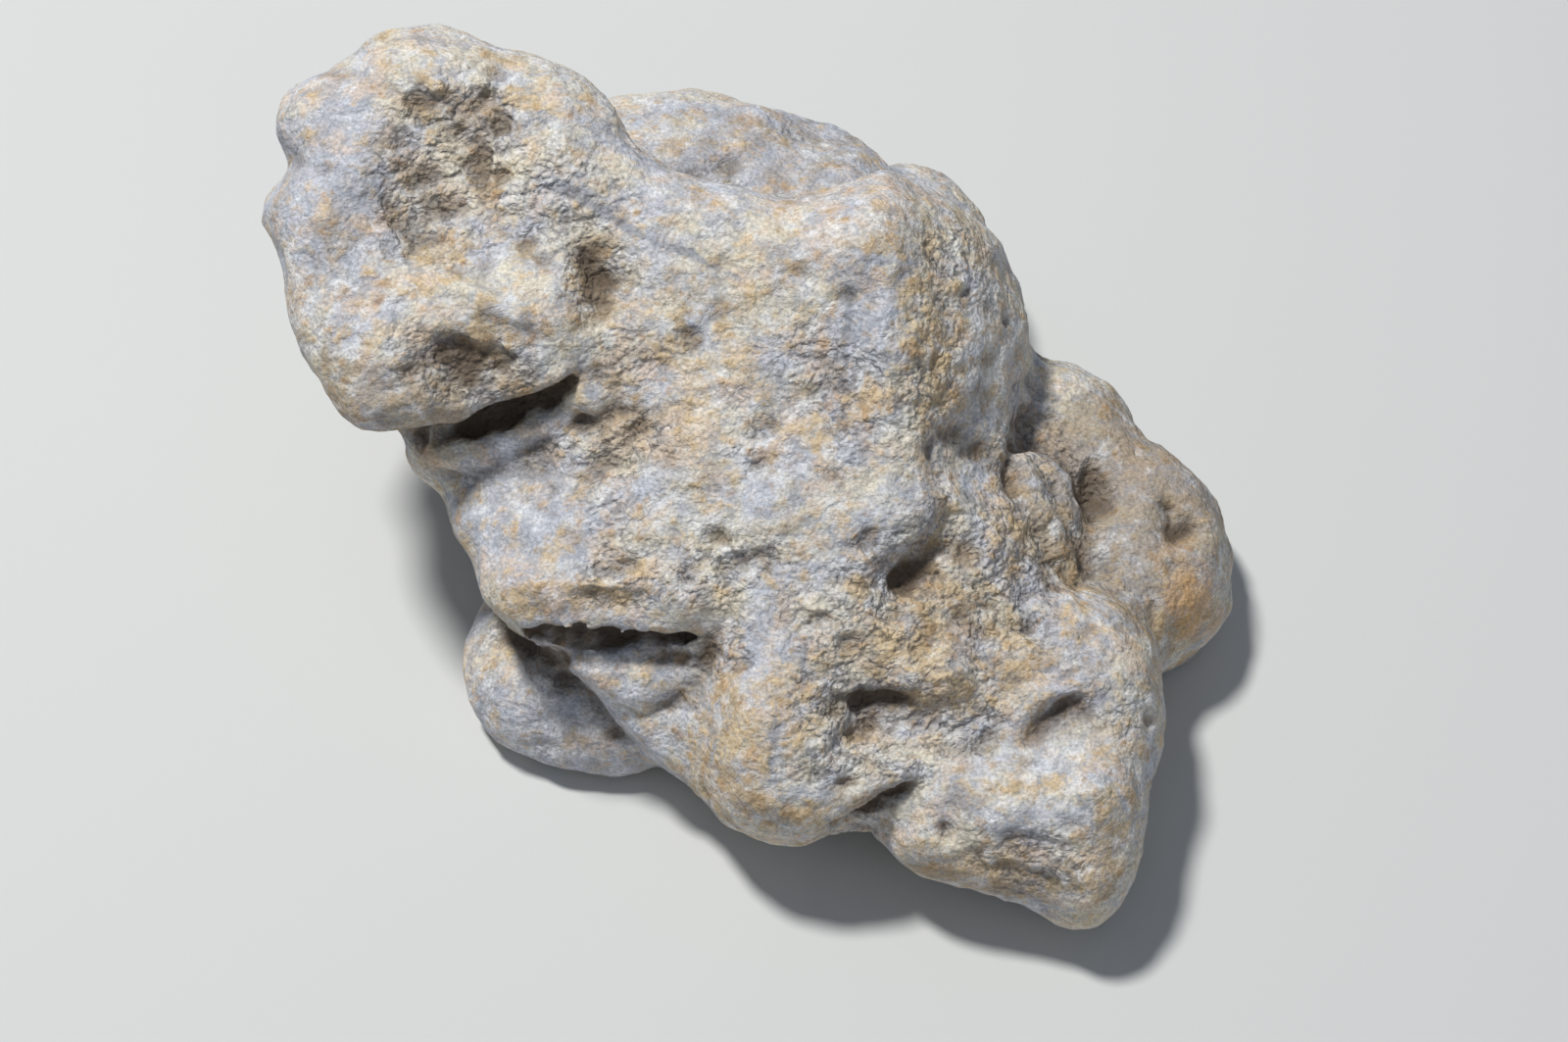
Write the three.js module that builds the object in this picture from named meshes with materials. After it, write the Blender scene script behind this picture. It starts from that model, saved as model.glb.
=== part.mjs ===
// A closed geode nodule: one weathered, lumpy stone of hand size, uncut, resting on its own worn feet.
//
// The stone is one solid. Its shape is a field, negative inside and positive outside, made of rounded
// slabs, rounded lobes, low swells and hollows, and the skin is meshed where the field is zero.
//
// Most of its forms lie on one long slope that climbs from the nose at the front to the knob at the back,
// so they are given in that slope's own frame, in millimetres:
//   across   to the right
//   upslope  up the slope, towards the back
//   rise     out of the slope, square to it
// The part's frame has +Z up, +X right and +Y to the back, with the floor at z = 0.
import * as THREE from "three";
import { ImprovedNoise } from "three/addons/math/ImprovedNoise.js";

// ---- Driving dimensions, in millimetres ----
const SLOPE_ANGLE = 35; // degrees that the slope climbs from the floor
const SLOPE_HEIGHT = 40.7; // the slope frame's origin above the floor
const CENTRE_X = -3.52; // middle of the finished stone in the slope frame's own across and floor axes
const CENTRE_Y = 19.6;
const CELL = 3.35; // size of one mesh cell
const GRID_LOW = [-72, -67, -2.5 * CELL]; // the floor passes through the middle of a cell
const GRID_HIGH = [72, 67, 76];
const SETTLE_ROUNDS = 2; // how often the mesh is drawn onto the skin
const FOOT_SNAP = 0.45; // skin this close to the floor is worn exactly flat

// ---- The slabs: outlines run round each slab, [across, upslope] ----
// A slab's top is a plane, rise = at + across * perAcross + upslope * perUpslope. Its upper rim is rounded
// by upperRound, and by lipRound downslope of lipUpslope, where a slab may end in an overhanging lip.
const KNOB = {
  outline: [
    [-58, 60.5], [-55, 64.5], [-46.5, 66], [-36.5, 63], [-26, 59], [-20, 50], [-18, 37],
    [-20, 27], [-25.5, 18.5], [-33.5, 14], [-42, 12], [-50, 11], [-56, 12], [-60, 18],
    [-64, 23.5], [-65.5, 29.5], [-66.5, 35], [-69, 39.5], [-67, 44], [-65, 46.5], [-68, 51], [-65.5, 57],
  ],
  top: { at: 4, perAcross: 0, perUpslope: -0.19 },
  thickness: 27,
  upperRound: 10,
  lipRound: 5,
  lipUpslope: 21,
  lowerRound: 17,
};
const MAIN = {
  outline: [
    [-30, 55], [-23, 51], [-16, 47], [-7, 44.5], [2, 42.5], [8, 44], [13, 46.5], [18, 45.5], [24, 41.5],
    [29, 38], [32, 31], [34, 24], [33.5, 18.5], [32, 13], [31.5, 5], [26, -6], [12, -12], [0, -11],
    [-8, -14], [-12, -16], [-19, -16.5], [-28, -16.5], [-35, -15], [-39.5, -10.5], [-40.5, -6],
    [-44.5, -2], [-45.5, 3.5], [-50.5, 7], [-50, 14], [-40, 30],
  ],
  top: { at: -0.5, perAcross: 0.1, perUpslope: -0.02 },
  thickness: 40,
  upperRound: 11,
  lipRound: 3.5,
  lipUpslope: -7,
  lowerRound: 20,
};
const APRON = {
  outline: [
    [-35, -8], [-34.5, -15], [-29.5, -18.5], [-24, -23.5], [-19, -29.5], [-14, -34], [-10, -37.5],
    [-5, -40.5], [0, -42], [5, -41.5], [10, -40], [18, -39], [30, -40], [42, -36], [43, -24], [40.5, -15],
    [39, -10], [36.5, -2], [33, 3], [20, 8], [-10, 6],
  ],
  top: { at: 1.8, perAcross: 0.07, perUpslope: -0.02 },
  thickness: 26,
  upperRound: 9,
  lipRound: 7,
  lipUpslope: -25,
  lowerRound: 12,
};
const NOSE = {
  outline: [
    [12.5, -40], [14.5, -43.5], [19, -47], [25.5, -48.2], [31.5, -50], [36.5, -52.8], [40.5, -53],
    [44, -49.5], [46.5, -43.5], [47, -38], [45.5, -32], [41, -28], [34, -29], [26, -28], [18, -32],
  ],
  top: { at: 5.5, perAcross: 0.02, perUpslope: 0.06 },
  thickness: 22,
  upperRound: 9.5,
  lipRound: 9.5,
  lipUpslope: -60,
  lowerRound: 12,
};
const LIP_CHANGE = 5; // the rim's round changes over this much to either side of lipUpslope

// ---- The roof: the main slab and apron fall away to the right of a ridge, and the apron to the left ----
const RIDGE_ACROSS = 15.5; // the ridge crosses the slope frame's origin line here
const RIDGE_LEAN = -0.14; // and moves over by this for each millimetre upslope
const RIGHT_FALL = 0.78; // rise lost per millimetre to the right of the ridge
const RIGHT_BEND = 5; // how softly the ridge turns over
const APRON_STEP = 9; // the apron's left side lies lower than its belly by this
const APRON_STEP_FROM = 4; // and goes down between these places, to the left
const APRON_STEP_TO = 15;

// ---- Lobes of the lower body, in the part's floor axes before centring: centre and radii ----
const LOBES = [
  { name: "core", centre: [-4, 25, 22], radii: [33, 31, 24], blend: 6 },
  { name: "neck under the knob", centre: [-43, 50, 35], radii: [18.5, 18, 19.5], blend: 6 },
  { name: "lower left lobe", centre: [-23.5, 2.5, 6], radii: [19.7, 18, 10.5], blend: 2 },
  { name: "right lobe", centre: [46, 15, 10], radii: [15.5, 17.5, 14], blend: 4 },
  { name: "right lobe's shoulder", centre: [35, 28, 12], radii: [15.5, 15, 14.5], blend: 4 },
  { name: "front right lobe", centre: [36, -11, 14], radii: [14.5, 15.5, 15.5], blend: 5 },
  { name: "back lobe", centre: [-15, 62.5, 25.5], radii: [21, 18, 17], blend: 4 },
  { name: "back lobe's right half", centre: [1, 60, 23.5], radii: [16, 18, 16], blend: 4 },
  { name: "far lobe", centre: [14.5, 60.5, 13.5], radii: [16.5, 17, 15], blend: 3 },
  { name: "right rump", centre: [15, 42, 18], radii: [17, 18, 18], blend: 5 },
  { name: "back left foot", centre: [-23, 48, 15], radii: [19, 19, 17], blend: 6 },
];
const LOBE_SQUARENESS = 2.35; // 2 is an ellipsoid, more is boxier

// ---- Low swells and hollows of the slope: place, half widths, turn in degrees, height ----
const RELIEF = [
  { name: "knob's left cheek", at: [-59, 43], half: [9, 16], turn: 0, height: 2.6 },
  { name: "knob's brow over the first ledge", at: [-40, 25], half: [17, 6], turn: 6, height: 3.2 },
  { name: "crown of the knob", at: [-47, 57], half: [10, 5], turn: 0, height: 1.5 },
  { name: "middle of the main slab", at: [-10, 5], half: [16, 9], turn: 0, height: 1.6 },
  { name: "lip over the second ledge", at: [-28, -8], half: [11, 5], turn: -5, height: 3.2 },
  { name: "lip over the second ledge, right end", at: [-14, -9.5], half: [6, 4.5], turn: 0, height: 3.2 },
  { name: "shoulder, top", at: [10, 37], half: [7, 8], turn: 0, height: 3 },
  { name: "shoulder, middle", at: [15, 25], half: [6, 9], turn: 8, height: 3 },
  { name: "shoulder, foot", at: [16, 11], half: [5, 10], turn: 0, height: 2.4 },
  { name: "apron's belly", at: [-1, -25], half: [9, 9], turn: 0, height: 3.4 },
  { name: "swell between the apron's hollows", at: [22, -19.5], half: [5, 4.5], turn: 0, height: 3 },
  { name: "nose's left cheek", at: [26, -35], half: [6, 5], turn: 20, height: 1.6 },
  { name: "nose's right ridge", at: [38, -34], half: [4.5, 8], turn: -10, height: 2.4 },
  { name: "bench under the first ledge", at: [-37, 7], half: [13, 6], turn: 12, height: -5 },
  { name: "rough hollow of the knob", at: [-46.5, 40], half: [7.5, 6.5], turn: 0, height: -2.6 },
  { name: "hollow of the crown", at: [-38, 53.5], half: [4, 4], turn: 0, height: -2.4 },
  { name: "dimple beside the rough hollow", at: [-37, 44], half: [2.8, 5], turn: 0, height: -1.8 },
  { name: "trough behind the brow", at: [-33.5, 35], half: [6, 3.5], turn: 10, height: -1.6 },
  { name: "brown pit of the valley", at: [-24, 31.5], half: [3.2, 6], turn: 8, height: -3 },
  { name: "broken hollow over the first ledge", at: [-40, 20], half: [5.5, 3.6], turn: -15, height: -4 },
  { name: "dent of the main slab", at: [-20.5, 8.5], half: [5, 3], turn: 35, height: -2.4 },
  { name: "wedge pit's mouth", at: [18.5, -5.5], half: [6.5, 3.2], turn: 27, height: -3 },
  { name: "apron's hollow, left", at: [9, -24.5], half: [4, 5], turn: -30, height: -3.6 },
  { name: "apron's hollow, right", at: [16, -25], half: [6, 3.5], turn: -10, height: -3.8 },
  { name: "hollow over the nose", at: [35, -25.5], half: [6, 3.6], turn: 25, height: -5.5 },
  { name: "hollow beside the shoulder", at: [23, 10], half: [5, 5], turn: 0, height: -3.4 },
  { name: "crease down the shoulder's side", at: [29.5, 16], half: [3, 8], turn: -15, height: -3 },
  { name: "nose's dimple", at: [21.5, -39], half: [3, 3], turn: 0, height: -2.2 },
];
const RELIEF_FADE = [-30, -14]; // relief is full above the second rise and gone below the first

// ---- Recesses cut into the slope: a round bar from one point to another, [across, upslope, rise] ----
const CUTS = [
  { name: "under the first ledge", from: [-52, 12, -8.5], to: [-26, 15.5, -3.5], radius: 3.4, blend: 2 },
  { name: "wedge pit", from: [14.5, -7.5, 3], to: [24, -2.5, 0], radius: 2.8, blend: 2 },
  { name: "apron to nose", from: [8, -42, -4], to: [18.5, -32.5, 5], radius: 2.4, blend: 3 },
  { name: "shoulder to right lobe", from: [35, 21, -21], to: [32, 5, -17], radius: 3, blend: 4 },
];

// ---- Pits of the lower body, floor axes before centring ----
const LOBE_PITS = [
  { name: "large pit of the right lobe", centre: [41.7, 16.5, 23.8], radius: 4.2 },
  { name: "small pit of the right lobe", centre: [53.5, 11.5, 23], radius: 3.2 },
  { name: "pit of the back lobe", centre: [-8.2, 58, 46], radius: 3.4 },
  { name: "pit of the lower left lobe", centre: [-29.5, -13.5, 11.5], radius: 3 },
  { name: "hollow of the back", centre: [-6, 80, 22], radius: 7.5 },
  { name: "hollow of the right back", centre: [35, 48, 22], radius: 6 },
];
const PIT_BLEND = 3; // a pit's rim is rounded over this

// ---- Loose lumpiness of the skin: strongest on the lower body, slight on the slope ----
// Rounded lumps meet in creases.
const LUMPS = [
  { size: 30, low: 3.4, slope: 0.3 },
  { size: 13, low: 2.6, slope: 0.5 },
];
const LUMP_SHIFT = [7.3, 2.1, 4.7]; // which piece of the noise the stone wears
const LUMP_LEVEL = 0.22; // a lump's own mean height, taken off so that the stone keeps its size

const slopeSin = Math.sin(THREE.MathUtils.degToRad(SLOPE_ANGLE));
const slopeCos = Math.cos(THREE.MathUtils.degToRad(SLOPE_ANGLE));
const noise = new ImprovedNoise();
const { clamp, smoothstep } = THREE.MathUtils;

// Floor axes before centring to the slope's [across, upslope, rise].
function toSlope([x, y, z]) {
  const height = z - SLOPE_HEIGHT;
  return [x, slopeCos * y + slopeSin * height, slopeCos * height - slopeSin * y];
}

// The smaller of two fields, with the crease between them filled over a width.
function smoothMin(a, b, width) {
  const share = Math.max(width - Math.abs(a - b), 0) / width;
  return Math.min(a, b) - (share * share * width) / 4;
}

// The larger of two fields, with the edge between them rounded to a radius.
function roundMax(a, b, radius) {
  const corner = Math.hypot(Math.max(radius + a, 0), Math.max(radius + b, 0));
  return Math.min(-radius, Math.max(a, b)) + corner;
}

// Distance from a slope point to a closed outline, negative inside.
function outlineDistance(across, upslope, points) {
  let nearest = Infinity;
  let inside = false;
  for (let i = 0, j = points.length - 1; i < points.length; j = i++) {
    const a = points[i];
    const b = points[j];
    const edgeX = b.x - a.x;
    const edgeY = b.y - a.y;
    const toX = across - a.x;
    const toY = upslope - a.y;
    const along = clamp((toX * edgeX + toY * edgeY) / (edgeX * edgeX + edgeY * edgeY), 0, 1);
    nearest = Math.min(nearest, Math.hypot(toX - along * edgeX, toY - along * edgeY));
    if (a.y > upslope !== b.y > upslope && toX < (edgeX * toY) / edgeY) inside = !inside;
  }
  return inside ? -nearest : nearest;
}

// A slab's outline as a smooth closed curve through its points.
function curvePoints(outline) {
  const through = outline.map(([across, upslope]) => new THREE.Vector3(across, upslope, 0));
  return new THREE.CatmullRomCurve3(through, true, "centripetal").getPoints(outline.length * 3).slice(0, -1);
}

// The rise that the roof loses at a place across the slope, softly turned over at the ridge.
function roofFall(across, edge, fall, bend) {
  const past = across - edge;
  return (fall * (past + Math.hypot(past, bend))) / 2;
}

function slabField([across, upslope, rise], slab, curve, fallen) {
  const { at, perAcross, perUpslope } = slab.top;
  const top = at + across * perAcross + upslope * perUpslope - fallen;
  const rim = outlineDistance(across, upslope, curve);
  const upperRound = THREE.MathUtils.lerp(
    slab.lipRound,
    slab.upperRound,
    smoothstep(upslope, slab.lipUpslope - LIP_CHANGE, slab.lipUpslope + LIP_CHANGE),
  );
  const upper = roundMax(rim, rise - top, upperRound);
  return roundMax(upper, top - slab.thickness - rise, slab.lowerRound);
}

function reliefAt(across, upslope) {
  let height = 0;
  for (const form of RELIEF) {
    const turn = THREE.MathUtils.degToRad(form.turn);
    const dx = across - form.at[0];
    const dy = upslope - form.at[1];
    const long = (dx * Math.cos(turn) + dy * Math.sin(turn)) / form.half[0];
    const wide = (dy * Math.cos(turn) - dx * Math.sin(turn)) / form.half[1];
    height += form.height * Math.exp(-(long * long + wide * wide));
  }
  return height;
}

function lobeField(point, { centre, radii }) {
  const scaled = centre.map((c, i) => Math.abs(point[i] - c) / radii[i]);
  const reach = scaled.reduce((sum, s) => sum + s ** LOBE_SQUARENESS, 0) ** (1 / LOBE_SQUARENESS);
  const slopes = scaled.map((s, i) => (s / Math.max(reach, 1e-6)) ** (LOBE_SQUARENESS - 1) / radii[i]);
  return (reach - 1) / Math.max(Math.hypot(...slopes), 1 / Math.max(...radii));
}

function barField(point, { from, to, radius }) {
  const a = new THREE.Vector3(...from);
  const bar = new THREE.Line3(a, new THREE.Vector3(...to));
  const here = new THREE.Vector3(...point);
  return bar.closestPointToPoint(here, true, new THREE.Vector3()).distanceTo(here) - radius;
}

const curves = new Map([KNOB, MAIN, APRON, NOSE].map((slab) => [slab, curvePoints(slab.outline)]));

// The whole stone's field at a point of the part's frame.
function stoneField(x, y, z) {
  const floorPoint = [x + CENTRE_X, y + CENTRE_Y, z];
  const [across, upslope, rise] = toSlope(floorPoint);
  const onSlope = smoothstep(rise, RELIEF_FADE[0], RELIEF_FADE[1]);
  const bare = [across, upslope, rise - reliefAt(across, upslope) * onSlope];

  const rightFall = roofFall(across, RIDGE_ACROSS + RIDGE_LEAN * upslope, RIGHT_FALL, RIGHT_BEND);
  const leftFall = APRON_STEP * smoothstep(-across, APRON_STEP_FROM, APRON_STEP_TO);
  const slab = (shape, fallen) => slabField(bare, shape, curves.get(shape), fallen);
  let field = slab(MAIN, rightFall);
  field = smoothMin(field, slab(APRON, rightFall + leftFall), 1.5);
  field = smoothMin(field, slab(NOSE, 0), 4);
  field = smoothMin(field, slab(KNOB, 0), 3);
  for (const lobe of LOBES) field = smoothMin(field, lobeField(floorPoint, lobe), lobe.blend);
  for (const cut of CUTS) field = -smoothMin(-field, barField(bare, cut), cut.blend);
  for (const pit of LOBE_PITS) {
    const away = Math.hypot(...pit.centre.map((c, i) => floorPoint[i] - c));
    field = -smoothMin(-field, away - pit.radius, PIT_BLEND);
  }
  for (const { size, low, slope } of LUMPS) {
    const strength = THREE.MathUtils.lerp(low, slope, onSlope);
    const lump = noise.noise(...[x, y, z].map((v, i) => v / size + LUMP_SHIFT[i]));
    field -= strength * (Math.abs(lump) - LUMP_LEVEL);
  }
  return Math.max(field, -z);
}

// One cell's edges, each from a corner (bits x, y, z) along an axis.
const CELL_EDGES = [0, 1, 2, 3, 4, 5, 6, 7].flatMap((corner) =>
  [0, 1, 2].filter((axis) => !(corner & (1 << axis))).map((axis) => ({ corner, axis })),
);

// Sorts a cell's crossed edges into the separate sheets of skin that pass through it.
function sheetsOf(crossed, isInside) {
  const sheet = new Map(crossed.map((edge) => [edge, [edge]]));
  const join = (a, b) => {
    if (sheet.get(a) === sheet.get(b)) return;
    const joined = [...sheet.get(a), ...sheet.get(b)];
    for (const edge of joined) sheet.set(edge, joined);
  };
  for (const across of [0, 1, 2])
    for (const side of [0, 1]) {
      const liesOn = ({ corner, axis }) => axis !== across && ((corner >> across) & 1) === side;
      const onFace = crossed.filter(liesOn);
      if (onFace.length === 2) join(...onFace);
      if (onFace.length < 4) continue;
      const ends = ({ corner, axis }) => (isInside(corner) ? corner : corner | (1 << axis));
      for (const edge of onFace)
        for (const other of onFace) if (ends(edge) === ends(other)) join(edge, other);
    }
  return new Set(sheet.values());
}

// Meshes the field's zero level on a grid: a vertex for each sheet of skin in each cell, and a quad round
// each grid edge that the skin crosses.
function meshOf(fieldAt, low, high, cell) {
  const count = low.map((v, i) => Math.ceil((high[i] - v) / cell) + 1);
  const index = ([i, j, k]) => (k * count[1] + j) * count[0] + i;
  const offset = ([i, j, k], corner) => [i + (corner & 1), j + ((corner >> 1) & 1), k + (corner >> 2)];
  const forEachCell = (first, visit) => {
    for (let k = first; k < count[2] - 1; k++)
      for (let j = first; j < count[1] - 1; j++) for (let i = first; i < count[0] - 1; i++) visit([i, j, k]);
  };
  const values = new Float64Array(count[0] * count[1] * count[2]).fill(1);
  forEachCell(1, (at) => {
    values[index(at)] = fieldAt(...at.map((steps, i) => low[i] + steps * cell));
  });

  const positions = [];
  const vertexOf = new Map();
  const edgeKey = (at, { corner, axis }) => (index(at) * 8 + corner) * 3 + axis;
  forEachCell(0, (at) => {
    const value = (corner) => values[index(offset(at, corner))];
    const isInside = (corner) => value(corner) < 0;
    const isCrossed = ({ corner, axis }) => isInside(corner) !== isInside(corner | (1 << axis));
    const crossed = CELL_EDGES.filter(isCrossed);
    if (!crossed.length) return;
    for (const sheet of sheetsOf(crossed, isInside)) {
      const middle = [0, 0, 0];
      for (const edge of sheet) {
        const start = value(edge.corner);
        const share = start / (start - value(edge.corner | (1 << edge.axis)));
        const from = offset(at, edge.corner);
        from[edge.axis] += share;
        from.forEach((steps, i) => (middle[i] += (low[i] + steps * cell) / sheet.length));
        vertexOf.set(edgeKey(at, edge), positions.length / 3);
      }
      positions.push(...middle);
    }
  });

  const faces = [];
  forEachCell(1, (at) => {
    for (const axis of [0, 1, 2]) {
      const inside = values[index(at)] < 0;
      if (inside === values[index(offset(at, 1 << axis))] < 0) continue;
      const u = 1 << ((axis + 1) % 3);
      const v = 1 << ((axis + 2) % 3);
      const quad = [0, u, u | v, v].map((corner) => {
        const cellAt = at.map((steps, i) => steps - ((corner >> i) & 1));
        return vertexOf.get(edgeKey(cellAt, { corner, axis }));
      });
      if (!inside) quad.reverse();
      faces.push(quad);
    }
  });
  return { positions, faces };
}

// Moves each vertex along the field's gradient until it lies on the skin.
function settle(positions, fieldAt) {
  const step = 0.05; // how far apart the gradient is measured
  const reach = CELL / 2; // the most that a vertex may move in one round
  const flattest = 0.2; // a gradient's squared length is taken as no less than this
  for (let round = 0; round < SETTLE_ROUNDS; round++)
    for (let v = 0; v < positions.length; v += 3) {
      const [x, y, z] = positions.slice(v, v + 3);
      const here = fieldAt(x, y, z);
      const gradient = new THREE.Vector3(
        (fieldAt(x + step, y, z) - fieldAt(x - step, y, z)) / (2 * step),
        (fieldAt(x, y + step, z) - fieldAt(x, y - step, z)) / (2 * step),
        (fieldAt(x, y, z + step) - fieldAt(x, y, z - step)) / (2 * step),
      );
      gradient.multiplyScalar(-here / Math.max(gradient.lengthSq(), flattest)).clampLength(0, reach);
      gradient.toArray().forEach((move, axis) => (positions[v + axis] += move));
    }
}

// Splits each quad along its shorter diagonal.
function trianglesOf(positions, faces) {
  const corner = (v) => new THREE.Vector3().fromArray(positions, 3 * v);
  return faces.flatMap(([a, b, c, d]) => {
    const acShorter = corner(a).distanceTo(corner(c)) < corner(b).distanceTo(corner(d));
    return acShorter ? [a, b, c, a, c, d] : [a, b, d, b, c, d];
  });
}

function stoneGeometry() {
  const { positions, faces } = meshOf(stoneField, GRID_LOW, GRID_HIGH, CELL);
  settle(positions, stoneField);
  for (let v = 2; v < positions.length; v += 3) if (positions[v] < FOOT_SNAP) positions[v] = 0;
  const geometry = new THREE.BufferGeometry();
  geometry.setAttribute("position", new THREE.Float32BufferAttribute(positions, 3));
  geometry.setIndex(trianglesOf(positions, faces));
  geometry.computeVertexNormals();
  return geometry;
}

const stoneMaterial = new THREE.MeshStandardMaterial({ color: 0xa8967f, roughness: 0.85, metalness: 0 });

const stone = new THREE.Mesh(stoneGeometry(), stoneMaterial);
stone.name = "stone";

const nodule = new THREE.Group();
nodule.name = "geode_nodule";
nodule.add(stone);

export default nodule;
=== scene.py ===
# %% [markdown]
# # A closed geode nodule
#
# A geode that nobody has cut looks like this: a lumpy, weathered stone of hand size. Its skin is a crust
# of pale, fine-grained mineral, stained ochre and grey, with ledges where harder bands stand out, and
# pits where softer bits have fallen away. This lesson takes the plain solid of such a stone and gives it
# what a hand would feel and an eye would see: sharp ledges, hollows, granules, grain and colour.
#
# The solid arrives as the frame. It is plain on purpose, so its shape is kept and only refined here.

# %% The frame: the plain solid that everything is built on
import math

import bmesh
import bpy
import numpy as np
from mathutils import Matrix, Vector, noise


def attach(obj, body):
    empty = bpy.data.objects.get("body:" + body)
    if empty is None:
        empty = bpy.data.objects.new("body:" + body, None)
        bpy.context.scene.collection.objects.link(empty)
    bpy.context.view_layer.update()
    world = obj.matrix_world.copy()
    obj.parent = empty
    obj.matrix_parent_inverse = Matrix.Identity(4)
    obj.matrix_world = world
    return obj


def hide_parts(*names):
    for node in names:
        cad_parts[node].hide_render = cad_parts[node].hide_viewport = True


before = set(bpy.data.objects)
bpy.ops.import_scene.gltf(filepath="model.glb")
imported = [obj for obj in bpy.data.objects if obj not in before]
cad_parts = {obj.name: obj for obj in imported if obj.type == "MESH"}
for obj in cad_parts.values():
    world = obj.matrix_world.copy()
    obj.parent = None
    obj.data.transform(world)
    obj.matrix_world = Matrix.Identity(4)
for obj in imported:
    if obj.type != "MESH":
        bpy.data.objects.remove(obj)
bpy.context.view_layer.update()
MM = 0.001


def in_mm(place):
    return [round(v / MM, 1) for v in place]


# %% [markdown]
# ## Where things are on the stone
#
# Nearly everything worth looking at lies on one long slope that climbs from the nose of the stone at the
# front to its knob at the back. A frame of its own makes such a slope easy to work on: `across` runs to
# the right, `upslope` climbs towards the back, and `rise` stands square out of the slope. Places on the
# stone are given in that frame in millimetres, because a stone's pits and grains are millimetres wide.

# %% The slope's own frame, in millimetres
SLOPE_ANGLE = math.radians(35)
SLOPE_ORIGIN = np.array([3.52, -19.6, 40.7])
ACROSS = np.array([1, 0, 0])
UPSLOPE = np.array([0, math.cos(SLOPE_ANGLE), math.sin(SLOPE_ANGLE)])
RISE = np.array([0, -math.sin(SLOPE_ANGLE), math.cos(SLOPE_ANGLE)])
SLOPE_AXES = np.array([ACROSS, UPSLOPE, RISE])


def to_slope(metres):
    return (np.asarray(metres) / MM - SLOPE_ORIGIN) @ SLOPE_AXES.T


def from_slope(millimetres):
    return (np.asarray(millimetres) @ SLOPE_AXES + SLOPE_ORIGIN) * MM


print("the slope's origin stands", round(SLOPE_ORIGIN[2], 1), "mm above the floor")

# %% [markdown]
# ## Camera, light and floor
#
# They come first, so that every step after them can be looked at. The camera looks square down on the
# slope from 425 mm away, as someone does who bends over a stone on a table. One large soft lamp stands
# high above and a little behind, so ledges throw their shadows towards the viewer, and the world fills
# the shadows with plain pale light.

# %% The camera
CAMERA_AWAY = 425 * MM
LENS = 50
SENSOR_WIDTH = 23.5

camera_data = bpy.data.cameras.new("camera")
camera_data.lens = LENS
camera_data.sensor_width = SENSOR_WIDTH
camera = bpy.data.objects.new("camera", camera_data)
bpy.context.scene.collection.objects.link(camera)
camera_turn = Matrix((Vector(ACROSS), Vector(UPSLOPE), Vector(RISE))).transposed().to_4x4()
camera_place = Vector(SLOPE_ORIGIN * MM) + Vector(RISE) * CAMERA_AWAY
camera.matrix_world = Matrix.Translation(camera_place) @ camera_turn
bpy.context.scene.camera = camera
print("the camera stands at", in_mm(camera_place), "mm")

# %% The lamps and the world's own light
KEY_FROM = Vector((-0.30, 0.17, 0.94)).normalized()
KEY_AWAY = 1.1
KEY_SIZE = 0.16
KEY_POWER = 11.8
KEY_COLOUR = (0.985, 0.99, 0.965)
FILL_FROM = Vector((0.5, -0.75, 0.45)).normalized()
FILL_AWAY = 1.2
FILL_SIZE = 0.9
FILL_POWER = 0.9
FILL_COLOUR = (1.0, 0.96, 0.92)
WORLD_COLOUR = (0.70, 0.83, 1.0, 1)
WORLD_STRENGTH = 0.22


def soft_lamp(name, direction, away, size, power, colour):
    data = bpy.data.lights.new(name, "AREA")
    data.shape = "DISK"
    data.size = size
    data.energy = power
    data.color = colour
    lamp = bpy.data.objects.new(name, data)
    bpy.context.scene.collection.objects.link(lamp)
    lamp.location = direction * away
    lamp.rotation_euler = direction.to_track_quat("Z", "Y").to_euler()
    return lamp


soft_lamp("key_lamp", KEY_FROM, KEY_AWAY, KEY_SIZE, KEY_POWER, KEY_COLOUR)
soft_lamp("fill_lamp", FILL_FROM, FILL_AWAY, FILL_SIZE, FILL_POWER, FILL_COLOUR)
world = bpy.data.worlds.new("studio")
bpy.context.scene.world = world
world.use_nodes = True
sky = world.node_tree.nodes["Background"].inputs
sky["Color"].default_value = WORLD_COLOUR
sky["Strength"].default_value = WORLD_STRENGTH
bpy.context.scene.view_settings.view_transform = "Standard"
print("the key lamp is", round(math.degrees(2 * math.atan(KEY_SIZE / 2 / KEY_AWAY)), 1), "degrees wide")

# %% The floor
FLOOR_HALF = 3.0
FLOOR_COLOUR = (0.62, 0.62, 0.61, 1)
FLOOR_ROUGHNESS = 0.9
CORNERS = [(-1, -1), (1, -1), (1, 1), (-1, 1)]


def make_floor():
    mesh = bpy.data.meshes.new("floor")
    mesh.from_pydata([(x * FLOOR_HALF, y * FLOOR_HALF, 0) for x, y in CORNERS], [], [(0, 1, 2, 3)])
    material = bpy.data.materials.new("pale_floor")
    material.use_nodes = True
    shader = material.node_tree.nodes["Principled BSDF"]
    shader.inputs["Base Color"].default_value = FLOOR_COLOUR
    shader.inputs["Roughness"].default_value = FLOOR_ROUGHNESS
    mesh.materials.append(material)
    floor = bpy.data.objects.new("floor", mesh)
    bpy.context.scene.collection.objects.link(floor)
    return floor


make_floor()
print("the floor is", 2 * FLOOR_HALF, "m wide")

# %% [markdown]
# ## The body of the stone
#
# The solid is made of flat facets, a few millimetres wide. A subdivision surface rounds them off, as
# weather does, and gives enough points to carve. The stone could also be sculpted from nothing, but then
# it would no longer be the one that the solid says it is. So the solid's own mesh is copied and refined.
# Its triangles come loose, and are welded at their corners before they are rounded.

# %% Copy the solid, weld it and round its facets
ROUNDING_LEVELS = 2
WELD = 1e-6

cad_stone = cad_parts["stone"]


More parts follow.
